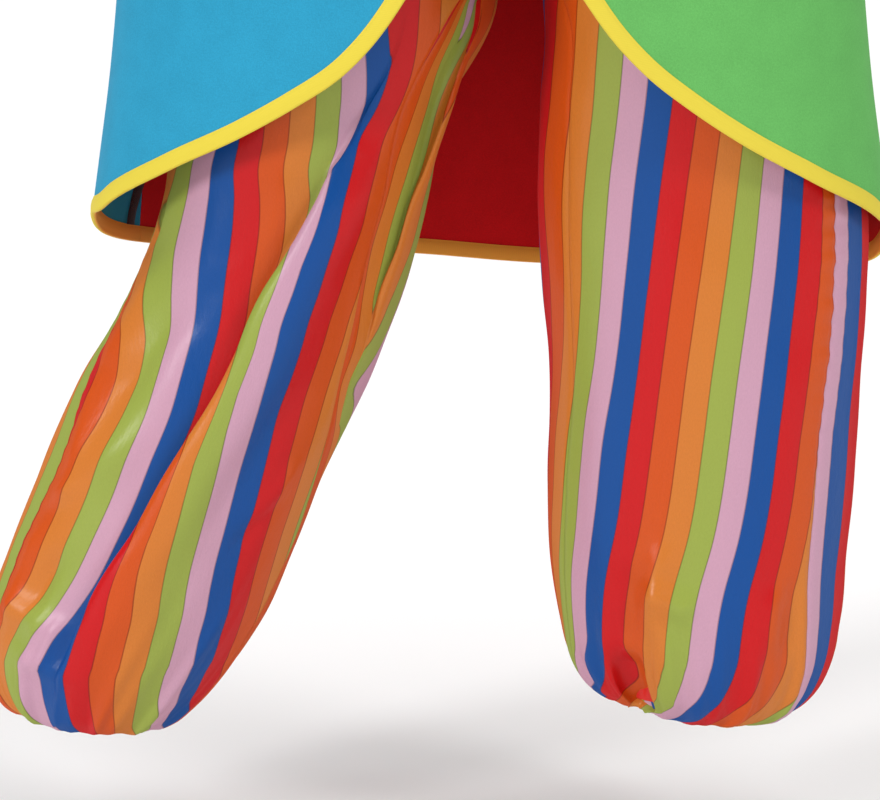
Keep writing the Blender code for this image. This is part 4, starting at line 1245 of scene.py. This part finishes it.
def leg_sections(table):
    """The leg's sections every ROW_STEP or less, with the table's own, and how far down each is."""
    rows = np.array(table)
    middle = np.stack([rows[:, 0] + rows[:, 2], rows[:, 1] + rows[:, 3]], axis=1) / 2
    size = np.concatenate([middle, rows[:, 4:5], (rows[:, 0:1] - rows[:, 2:3]) / 2], axis=1)
    reach = np.concatenate([[0], np.cumsum(np.linalg.norm(np.diff(size, axis=0), axis=1))])
    at = [reach[:1]]
    for start, end in zip(reach[:-1], reach[1:]):
        at.append(np.linspace(start, end, max(int(np.ceil((end - start) / ROW_STEP)), 2) + 1)[1:])
    at = np.concatenate(at)
    sections = np.stack([smooth(reach, part, at) for part in rows.T], axis=1)
    return [LegSection(*row) for row in sections.tolist()], at


def crowded(count):
    """Shares from 0 to 1 that lie closer together at both ends."""
    share = np.linspace(0, 1, count)
    return share - SEAM_CROWDING / (2 * np.pi) * np.sin(2 * np.pi * share)


def section_line(row):
    """The middle of a leg's section, and the way from there to its outermost line."""
    out = np.array([row.out_x, 0, row.out_height])
    inner = np.array([row.in_x, 0, row.in_height])
    return (out + inner) / 2, (out - inner) / 2


def lap_columns(start, end, place, forward, folded, reach, size):
    """Turns, shares of lift and shares of hidden cloth across a panel with a lap in it.

    forward is 1 where the lap's under side comes first on the way from start to end. size is
    the lap's own, against the one in the table.
    """
    points = LAP if forward > 0 else LAP[::-1]
    shift = np.array([(folded * p.folded + (1 - folded) * p.flat) * MM for p in points])
    shift = shift / reach * forward * size
    lift = np.array([p.lift for p in points])
    lap = place + shift
    each_side = (PANEL_COLUMNS - len(LAP)) // 2
    before = np.linspace(start, lap[0], each_side, endpoint=False)
    after = np.linspace(lap[-1], end, each_side + 1)[1:]

    def spread(turn):
        past = (turn - place) * reach * forward / size
        valley = LAP[0].lift * bump_at(past - LAP[0].flat * MM, LAP_BEFORE)
        crest = LAP[-1].lift * bump_at(np.maximum(past - LAP[-1].flat * MM, 0), LAP_AFTER)
        return np.where(past < 0, valley, crest)

    first, last = LAP_HIDDEN if forward > 0 else [len(LAP) - 1 - n for n in LAP_HIDDEN[::-1]]
    hidden = ease((np.arange(len(LAP)) - first) / (last - first))
    turns = np.concatenate([before, lap, after])
    lifts = np.concatenate([spread(before), lift, spread(after)])
    shares = np.concatenate([np.zeros(len(before)), hidden, np.ones(len(after))])
    return turns, lifts, shares


def gathered(share, seed):
    """Uneven waves of gathered cloth across a panel, from about -1 to 1, and 1 at both seams."""
    drawn = share + 0.012 * np.sin(2 * np.pi * 3 * share + seed) * np.sin(np.pi * share)
    waves = zip(GATHERS, GATHER_SHARES)
    return sum(part * np.cos(2 * np.pi * count * drawn) for count, part in waves)


def crease_lift(creases, turn, height):
    """The lift of a list of creases over a panel's points."""
    total = np.zeros_like(turn)
    for crease in creases:
        start = np.array([np.radians(crease.turn) * LEG_RADIUS, crease.height])
        end = np.array([np.radians(crease.end_turn) * LEG_RADIUS, crease.end_height])
        length = np.linalg.norm(end - start)
        run = (end - start) / length
        place = np.stack([turn * LEG_RADIUS, height], axis=-1) - start
        along = place @ run
        off = np.abs(place @ np.array([-run[1], run[0]]))
        ends = CREASE_ENDS * length
        fade = ease(along / ends) * ease((length - along) / ends)
        total += crease.depth * MM * bump_at(off, crease.width * MM) * fade
    return total


def stripe_place(side, face, height, turn, arc, marks, fold_share, hidden):
    """How far across the striped cloth each point of a row lies, in metres.

    marks are the arcs of the panel's start and end, of the innermost line and of the middle.
    """
    half = turn / np.pi
    if side == LEFT and face == FRONT:
        start, bow = column(LEFT_STRIPES, "start", height), column(LEFT_STRIPES, "bow", height)
        return (start + bow * (2 * half - 1) ** 2) * MM - arc
    if side == RIGHT and face == FRONT:
        bow = column(RIGHT_STRIPES, "bow", height) * np.clip(1 - 2 * half, 0, 1) ** 2
        outer = column(RIGHT_STRIPES, "outer", height) + bow
        inner = column(RIGHT_STRIPES, "inner", height)
        return arc + ((1 - hidden) * outer + hidden * inner) * MM
    start_arc, end_arc, inner_arc, centre_arc = marks
    if side == LEFT:
        free = BACK_CENTRE[LEFT] * MM + arc - centre_arc
        held = LEFT_BACK_START * MM + arc - start_arc
        start, bow = column(LEFT_STRIPES, "start", height), column(LEFT_STRIPES, "bow", height)
        inseam = (LEFT_REPEATS + start + bow * (3 - 2 * half) ** 2) * MM - 2 * inner_arc + arc
        place = free + ease(1 - (end_arc - arc) / BLEND) * (inseam - free)
        return place + ease(1 - (arc - start_arc) / BLEND) * (held - free)
    free = BACK_CENTRE[RIGHT] * MM + centre_arc - arc
    seam, before, after, edge = (
        float(column(RIGHT_BACK_STRIPES, name, height)) for name in RightBack._fields[1:]
    )
    fold = inner_arc + (end_arc - inner_arc) * fold_share
    seam_side = seam + (before - seam) * (end_arc - arc) / (end_arc - fold)
    edge_side = after + (edge - after) * (fold - arc) / (fold - inner_arc)
    edge_side = np.where(arc > inner_arc, edge_side, edge + (inner_arc - arc) / MM)
    inseam = (hidden * seam_side + (1 - hidden) * edge_side) * MM
    outseam = RIGHT_BACK_END * MM - (arc - start_arc)
    place = free + ease(1 - (end_arc - arc) / BLEND) * (inseam - free)
    return place + ease(1 - (arc - start_arc) / BLEND) * (outseam - free)


def girth_arcs(row, turns):
    """How far round a section each turn lies from its outermost line."""
    width = np.hypot(row.out_x - row.in_x, row.out_height - row.in_height) / 2
    speed = np.hypot(width * np.sin(turns), row.half_depth * np.cos(turns))
    arcs = np.concatenate([[0], np.cumsum((speed[1:] + speed[:-1]) / 2 * np.diff(turns))])
    return arcs - np.interp(0, turns, arcs)


def leg_panels(side, slack, pucker):
    """Outer faces, normals and uv of a leg's front and back panels, from waist to ankle."""
    table, seam_table = (RIGHT_LEG, RIGHT_SEAMS) if side < 0 else (LEFT_LEG, LEFT_SEAMS)
    sections, downs = leg_sections(table)
    dense = np.linspace(-np.pi / 2, 1.5 * np.pi, ARC_STEPS + 1)
    faces = {FRONT: [], BACK: []}
    crotch = int(np.argmin([abs(row.in_height - CROTCH_HEIGHT) for row in sections]))
    depths = [-part.in_height for part in table]
    waist_row = LegSection(*[smooth(depths, values, -WAIST_GATHER) for values in zip(*table)])
    kept = girth_arcs(waist_row, dense)
    for number, (row, down) in enumerate(zip(sections, downs)):
        centre, reach = section_line(row)
        width = np.linalg.norm(reach)
        height = row.in_height
        middle = middle_seam(height)
        last = np.pi
        if number < crotch:
            last = np.arccos(np.clip((middle - centre[0]) / reach[0], -1, 1))
        out_turn, in_turn = (
            max(float(column(seam_table, name, height)), 0) for name in ("outseam", "inseam")
        )
        in_turn = 0 if number <= crotch else in_turn
        # gathered cloth keeps the width it has where the gathers end, and half of that at the ankle
        if ANKLE_GATHER < height < WAIST_GATHER:
            kept = girth_arcs(row, dense)
        arcs = (kept + girth_arcs(row, dense)) / 2 if height < ANKLE_GATHER else kept
        for face in (FRONT, BACK):
            ends = np.array([-face * np.radians(out_turn), last + face * np.radians(in_turn)])
            half_gap = SEAM / 2 / np.hypot(width * np.sin(ends), row.half_depth * np.cos(ends))
            start, end = ends + half_gap * (1, -1)
            hidden, lift, fold_share = np.ones(PANEL_COLUMNS), 0, 0.5
            turn = start + (end - start) * crowded(PANEL_COLUMNS)
            if side < 0:
                laps = DRAG_FOLD if face == FRONT else INSEAM_FOLD
                place, depth, folded = (
                    float(column(laps, name, height)) for name in ("turn", "lift", "folded")
                )
                folded = np.clip(folded, 0, 1)
                if face == FRONT:
                    lap = (np.radians(place), 1, folded, width, 1)
                else:
                    # the back's turns run on past the innermost line to the inseam
                    past = np.radians(place)
                    if number > crotch:
                        past = min(past, (end - np.pi) * INSEAM_FOLD_REACH)
                    place = min(np.pi + past, end - INSEAM_FOLD_CLEAR)
                    lap = (place, -1, folded, width, INSEAM_FOLD_SIZE)
                    fold_share = np.clip(past / max(end - np.pi, LEAST_TURN), *FOLD_SHARES)
                turn, lift, hidden = lap_columns(start, end, *lap)
                lift = lift * max(depth, 0)
            share = (turn - start) / (end - start)
            gather = row.gather * MM * gathered(share, 2 * side + face)
            swell = gather + lift
            points = centre + np.outer(np.cos(turn) * (1 + swell / width), reach)
            points[:, 1] = face * (row.half_depth + swell) * np.sin(turn)
            if number <= crotch:
                points[-1, 0] = middle + side * SEAM / 2
            arc = np.interp(turn, dense, arcs)
            marks = np.interp([*ends, np.pi, np.pi / 2], dense, arcs)
            u = stripe_place(side, face, height, turn, arc, marks, fold_share, hidden)
            if side < 0 and face == FRONT:
                past = arc - np.interp(np.radians(place), dense, arcs)
                u -= LIP_ROLL * folded * hidden * bump_at(np.maximum(past, 0), LIP_WIDTH)
            for part in SHIFTS[side] if face == FRONT else ():
                near = bump_at(turn - np.radians(part.turn), part.wide)
                near = near * bump_at(height - part.height, part.tall)
                u += part.shift * MM * near
            faces[face].append((points, u, np.full(len(turn), down), turn))
    panels = {}
    for face, rows in faces.items():
        points, u, down, turn = (np.stack(part) for part in zip(*rows))
        normals = face_normals(points) * side * (1 if face == FRONT else -1)
        panels[face] = [points, normals, u, down, turn]
    front, back = panels[FRONT], panels[BACK]
    outseam = unit(front[1][:, 0] + back[1][:, 0])
    inseam = unit(front[1][crotch:, -1] + back[1][crotch:, -1])
    rise = unit(np.cross(section_line(table[-1])[1] * side, (0, 1, 0)))
    made = {}
    for face, (points, normals, u, down, turn) in panels.items():
        normals[:, 0] = outseam
        normals[:crotch, -1, 0] = 0
        normals[crotch:, -1] = inseam
        normals[crotch, -1] = (0, 0, -1)
        normals[0, :, 2] = 0
        normals[-1] -= (normals[-1] @ rise)[:, None] * rise
        normals = unit(normals)
        points = finished_panel(side, face, points, normals, down, turn, slack, pucker)
        made[face] = with_allowances(points, normals, u, down)
    return made


def finished_panel(side, face, points, normals, down, turn, slack, pucker):
    """A panel's points with its creases, slack waves, seam grooves and puckers."""
    height = points[..., 2]
    total = down[-1, 0]
    fade = ease(down / WAIST_FADE) * ease((total - down) / ANKLE_FADE)
    creases = BACK_CREASES
    if face == FRONT:
        creases = RIGHT_FRONT_CREASES if side < 0 else LEFT_FRONT_CREASES
    lift = crease_lift(creases, turn, height)
    # under the coat the cloth only moves inwards
    free = 1 - ease((height - COVERED_FROM[side]) / COVER_REACH)
    wave = slack * sum(part * ripple(points, size, start) for size, start, part in SLACK_WAVES)
    lift = free * (lift + wave) + (1 - free) * (np.minimum(lift, 0) + wave - COVER_PRESS * slack)
    outseam = travelled(points, 1)
    seams = np.minimum(outseam, outseam[:, -1:] - outseam)
    away = ease(seams / SEAM_FADE)
    fine, broad = (2 * np.pi * down / step for step in PUCKER_STEPS)
    beat = np.sin(fine + 2.2 * np.sin(down / PUCKER_DRIFT)) + 0.6 * np.sin(broad)
    uneven = 0.55 + 0.45 * np.sin(down / PUCKER_FADE + side)
    tug = pucker * PUCKER_SHARE[side] * uneven * beat * bump_at(outseam, PUCKER_REACH)
    groove = -GROOVE * bump_at(seams, GROOVE_WIDTH)
    pressed = (1 - free) * (1 - away) * -COVER_PRESS * slack
    lift = lift * away + pressed + (tug - 0.6 * pucker * (1 - free)) + groove
    return points + normals * (lift * fade)[..., None]


def with_allowances(points, normals, u, down):
    """Turns both long edges of a panel in behind its seams."""
    columns = [points]
    across = [u]
    for edge, pick in ((0, 0), (-1, -1)):
        inward = [points[:, pick] - normals[:, pick] * depth for depth in ALLOWANCE]
        step = np.sign(u[:, 1] - u[:, 0]) * (-1 if edge == 0 else 1)
        cloth_there = [u[:, pick] + step * depth for depth in ALLOWANCE]
        if edge == 0:
            columns.insert(0, np.stack(inward[::-1], axis=1))
            across.insert(0, np.stack(cloth_there[::-1], axis=1))
        else:
            columns.append(np.stack(inward, axis=1))
            across.append(np.stack(cloth_there, axis=1))
    grid, wide = np.concatenate(columns, axis=1), np.concatenate(across, axis=1)
    first, last = ([edge] * len(ALLOWANCE) for edge in (normals[:, :1], normals[:, -1:]))
    facing = np.concatenate([*first, normals, *last], axis=1)
    uv = np.stack([wide, np.repeat(down[:, :1], wide.shape[1], axis=1)], axis=-1)
    return grid, facing, uv


def casing_ring(low, high, reach, half_depth, gathers):
    """An elastic casing's outer face between the middles of its two ends."""
    turn = np.linspace(0, 2 * np.pi, CASING_STEPS, endpoint=False)
    waves = 0.6 * np.cos(gathers.waves * turn) + 0.4 * np.cos((gathers.waves + 7) * turn + 1.1)
    ruffle = gathers.depth * waves
    rings = []
    for share in np.linspace(0, 1, CASING_ROWS):
        centre = low * (1 - share) + high * share
        full = np.sin(np.pi * share)
        grow = gathers.outer + ruffle * full + gathers.bulge * full
        ring = centre + np.outer(np.cos(turn), reach) * (1 + grow / np.linalg.norm(reach))[:, None]
        ring[:, 1] = (half_depth + grow) * np.sin(turn)
        rings.append(ring)
    grid = np.stack(rings)
    outward = grid - grid.mean(axis=1, keepdims=True)
    across = travelled(grid, 1)
    across = np.concatenate([across, across[:, -1:] * (1 + 1 / CASING_STEPS)], axis=1)
    down = np.repeat(travelled(grid, 0)[:, :1], CASING_STEPS + 1, axis=1)
    return grid, outward, np.stack([across, down], axis=-1)


# ---------------------------------------------------------------- operators


def grid_uv(grid):
    """Metres across and down a grid."""
    return np.stack([travelled(grid, 1), travelled(grid, 0)], axis=-1)


def joined_up(grid):
    """A closed grid with its first column once more at its end."""
    return np.concatenate([grid, grid[:, :1]], axis=1)


def felt_colour(coat, side):
    """The colour of one side's front and sleeve."""
    return coat.right_felt if side == RIGHT else coat.left_felt


def overlock_strip(side, back, back_normals, felt_thickness):
    """The overlocked allowance behind one side seam, and the way that it faces."""
    first, second = (-1, -2) if side < 0 else (0, 1)
    lines = [back[:, first], back[:, first] + back_normals[:, first], back[:, second]]
    lines = resampled(np.stack(lines, axis=1)[len(EDGE_ROWS):-1], TAPE_STEP)
    edge = lines[:, 0]
    normal, around = unit(lines[:, 1] - edge), unit(lines[:, 2] - edge)
    # towards the hem the strip narrows, and on the right it leans over to the front
    low = 1 - ease(travelled(edge[:, None], 0)[:, 0] / OVERLOCK_TURN)[:, None]
    lean = OVERLOCK_LEAN * low * (side < 0)
    strip = []
    for x in np.linspace(-0.5, 0.5, OVERLOCK_POINTS):
        rise = felt_thickness + SEAM + OVERLOCK_HEIGHT * np.sqrt(1 - (1.96 * x) ** 2)
        aside = x * OVERLOCK_WIDTH * (1 - OVERLOCK_NARROWED * low) - lean
        # the felt curves away from the seam's own plane
        strip.append(edge - normal * (rise + aside**2 / (2 * SIDE_ROUND)) + around * aside)
    return np.stack(strip, axis=1), -np.repeat(normal[:, None], OVERLOCK_POINTS, axis=1)


class CLOWN_OT_coat_panels(bpy.types.Operator):
    """Make the coat's back and two fronts, with their overlocked side seams."""

    bl_idname = "clown.coat_panels"
    bl_label = "Coat panels"

    def execute(self, context):
        coat = context.scene.clown_coat
        back, back_normals = coat_back(coat.sway)
        red = felt("red felt", coat.back_felt)
        panel = cloth("back_felt", back, grid_uv(back), back_normals, coat.felt_thickness, red)
        thread = overlock_thread("dark overlock thread", coat.overlock)
        for side, word in SIDES:
            strip, inward = overlock_strip(side, back, back_normals, coat.felt_thickness)
            piece = cloth(f"{word}_overlock", strip, grid_uv(strip), inward, OVERLOCK_WALL, thread)
            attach(piece, BODY)
        below = ["trouser_back_right", "trouser_back_left"]
        declare(panel, ["coat_back"])
        for side, word in SIDES:
            front, normals = coat_front(side, coat.sway)
            material = felt("blue felt" if side < 0 else "green felt", felt_colour(coat, side))
            name, below = f"{word}_front_felt", [f"trouser_front_{word}"]
            piece = cloth(name, front, grid_uv(front), normals, coat.felt_thickness, material)
            declare(piece, [f"coat_front_{word}"])
        return {"FINISHED"}


class CLOWN_OT_bindings(bpy.types.Operator):
    """Fold the yellow tape over the fronts' edges and the back's hem."""

    bl_idname = "clown.bindings"
    bl_label = "Bindings"

    def execute(self, context):
        coat = context.scene.clown_coat
        material = stitched_tape("yellow tape", coat.tape, coat.tape_inside, coat.tape_width)
        panels = [("binding_hem_back", "coat_back", *coat_back(coat.sway))]
        for side, word in SIDES:
            front = coat_front(side, coat.sway)
            panels.append((f"binding_front_{word}", f"coat_front_{word}", *front))
        for node, carrier, outer, normals in panels:
            grid = tape_grid(outer, normals, coat.felt_thickness, coat.tape_width)
            grid = resampled(grid, TAPE_STEP)
            profile = travelled(grid, 1)
            across = 2 * coat.tape_width * profile / profile[:, -1:]
            uv = np.stack([across, travelled(grid, 0)], axis=-1)
            middle = grid[:, grid.shape[1] // 2]
            core = grid[:, [0, -1]].mean(axis=1)
            spine = core + (middle - core) * 0.8
            outward = grid - spine[:, None]
            name = node.replace("binding", "tape")
            piece = cloth(name, grid, uv, outward, TAPE_WALL, material)
            declare(piece, [node])
        return {"FINISHED"}


class CLOWN_OT_sleeves(bpy.types.Operator):
    """Set the two sleeves into the armholes."""

    bl_idname = "clown.sleeves"
    bl_label = "Sleeves"

    def execute(self, context):
        coat = context.scene.clown_coat
        back, back_normals = coat_back(0)
        for side, word in SIDES:
            front, normals = coat_front(side, 0)
            grid, facing = sleeve_grid(side, front, normals, back, back_normals, SLEEVE_SWAY)
            material = felt(f"{word} sleeve felt", felt_colour(coat, side))
            around, name = joined_up(grid), f"{word}_sleeve_felt"
            wall, carrier = coat.felt_thickness, [f"coat_front_{word}"]
            piece = cloth(name, grid, grid_uv(around), facing, wall, material, closed=True)
            declare(piece, [f"sleeve_{word}"])
        return {"FINISHED"}


class CLOWN_OT_trouser_legs(bpy.types.Operator):
    """Sew the four striped satin panels of the trousers."""

    bl_idname = "clown.trouser_legs"
    bl_label = "Trouser legs"

    def execute(self, context):
        trousers = context.scene.clown_trousers
        colours = [tuple(getattr(trousers, dye)) for dye in DYES]
        material = striped_satin("striped satin", colours, trousers.stripe)
        for side, word in SIDES:
            panels = leg_panels(side, trousers.slackness, trousers.pucker)
            for face, place in ((FRONT, "front"), (BACK, "back")):
                grid, facing, uv = panels[face]
                name, node = f"{word}_{place}_satin", f"trouser_{place}_{word}"
                piece = cloth(name, grid, uv, facing, trousers.satin_thickness, material)
                declare(piece, [node])
        return {"FINISHED"}


class CLOWN_OT_casings(bpy.types.Operator):
    """Gather the elastic casings at the waist and both ankles."""

    bl_idname = "clown.casings"
    bl_label = "Elastic casings"

    def execute(self, context):
        trousers = context.scene.clown_trousers
        material = plain_satin("casing satin", trousers.casing)
        top = LEFT_LEG[0]
        low, high = (
            np.array([0, 0, top.out_height + SEAM + step]) for step in (0, WAIST_CASING_HEIGHT)
        )
        waist = (low, high, np.array([top.out_x, 0, 0]), top.half_depth, WAIST_GATHERS)
        rings = [("waist_casing", "waist_gathers", waist)]
        for side, word in SIDES:
            last = (RIGHT_LEG if side < 0 else LEFT_LEG)[-1]
            centre, reach = section_line(last)
            rise = unit(np.cross(reach * side, (0, 1, 0)))
            low, high = (centre + rise * step for step in (SEAM, SEAM + ANKLE_CASING_HEIGHT))
            ankle = (low, high, reach, last.half_depth, ANKLE_GATHERS)
            rings.append((f"ankle_casing_{word}", f"{word}_ankle_gathers", ankle))
        for node, name, ring in rings:
            grid, outward, uv = casing_ring(*ring)
            piece = cloth(name, grid, uv, outward, CASING_CLOTH, material, closed=True)
            declare(piece, [node])
        return {"FINISHED"}


class CLOWN_OT_studio(bpy.types.Operator):
    """Lay the pale floor and set the soft lights and the camera."""

    bl_idname = "clown.studio"
    bl_label = "Studio"

    def execute(self, context):
        studio = context.scene.clown_studio
        clear_selection()
        bpy.ops.mesh.primitive_plane_add(size=FLOOR_SIZE, location=(0, 0, 0))
        floor = bpy.context.object
        floor.name = "studio_floor"
        floor.data.transform(floor.matrix_world)
        for vertex in floor.data.vertices:
            vertex.co.z = -ORIGIN_HEIGHT
        paper, shader = finish("pale paper floor", 0.9, 0.2, 0)
        place = add_node(paper, "ShaderNodeTexCoord", {}, "Object")
        cloud = add_node(paper, NOISE, {"Vector": place, "Scale": 3, "Detail": 2}, "Fac")
        tint(paper, shader, studio.floor, cloud, 0.99, 1.01)
        floor.data.materials.append(paper)
        for row in LIGHTS:
            lamp = bpy.data.lights.new(row.name, "SUN")
            lamp.angle, lamp.energy = np.radians(row.spread), getattr(studio, row.setting)
            light = bpy.data.objects.new(row.name, lamp)
            light.rotation_euler = (np.radians(row.tilt), 0, np.radians(row.turn))
            context.scene.collection.objects.link(light)
        world = bpy.data.worlds.new("studio surround")
        world.use_nodes = True
        # the surround lights softly, and is seen as a plain white wall
        soft = world.node_tree.nodes["Background"]
        soft.inputs["Color"].default_value = (1, 1, 1, 1)
        soft.inputs["Strength"].default_value = studio.surround
        seen = add_node(world, "ShaderNodeLightPath", {}, "Is Camera Ray")
        white = {"Color": (1, 1, 1, 1), "Strength": 1.0}
        wall = add_node(world, "ShaderNodeBackground", white, "Background")
        both = {0: seen, 1: soft.outputs["Background"], 2: wall}
        surface = world.node_tree.nodes["World Output"].inputs["Surface"]
        add_node(world, "ShaderNodeMixShader", both, "Shader", surface)
        context.scene.world = world
        context.scene.view_settings.view_transform = "Standard"
        lens = bpy.data.cameras.new("camera")
        lens.lens, lens.sensor_width = CAMERA_LENS, CAMERA_SENSOR
        camera = bpy.data.objects.new("camera", lens)
        camera.location = CAMERA_PLACE
        camera.rotation_euler = (CAMERA_TILT, 0, 0)
        context.scene.collection.objects.link(camera)
        context.scene.camera = camera
        return {"FINISHED"}


class CLOWN_PT_costume(bpy.types.Panel):
    """Lists the costume's steps and settings in the sidebar."""

    bl_label = "Clown costume"
    bl_idname = "CLOWN_PT_costume"
    bl_space_type = "VIEW_3D"
    bl_region_type = "UI"
    bl_category = "Costume"

    def draw(self, context):
        for step in STEPS:
            self.layout.operator(step.bl_idname)
        for name, group in SETTINGS:
            box = self.layout.box()
            for setting in group.__annotations__:
                box.prop(getattr(context.scene, name), setting)


SETTINGS = (
    ("clown_coat", CoatSettings),
    ("clown_trousers", TrouserSettings),
    ("clown_studio", StudioSettings),
)
STEPS = (
    CLOWN_OT_coat_panels,
    CLOWN_OT_bindings,
    CLOWN_OT_sleeves,
    CLOWN_OT_trouser_legs,
    CLOWN_OT_casings,
    CLOWN_OT_studio,
)


def register():
    for name, group in SETTINGS:
        bpy.utils.register_class(group)
        setattr(bpy.types.Scene, name, bpy.props.PointerProperty(type=group))
    for made in (*STEPS, CLOWN_PT_costume):
        bpy.utils.register_class(made)


def unregister():
    for made in (CLOWN_PT_costume, *reversed(STEPS)):
        bpy.utils.unregister_class(made)
    for name, group in reversed(SETTINGS):
        delattr(bpy.types.Scene, name)
        bpy.utils.unregister_class(group)


def main():
    """Runs every step in order."""
    register()
    bpy.ops.clown.coat_panels()
    bpy.ops.clown.bindings()
    bpy.ops.clown.sleeves()
    bpy.ops.clown.trouser_legs()
    bpy.ops.clown.casings()
    bpy.ops.clown.studio()


if __name__ == "__main__":
    main()
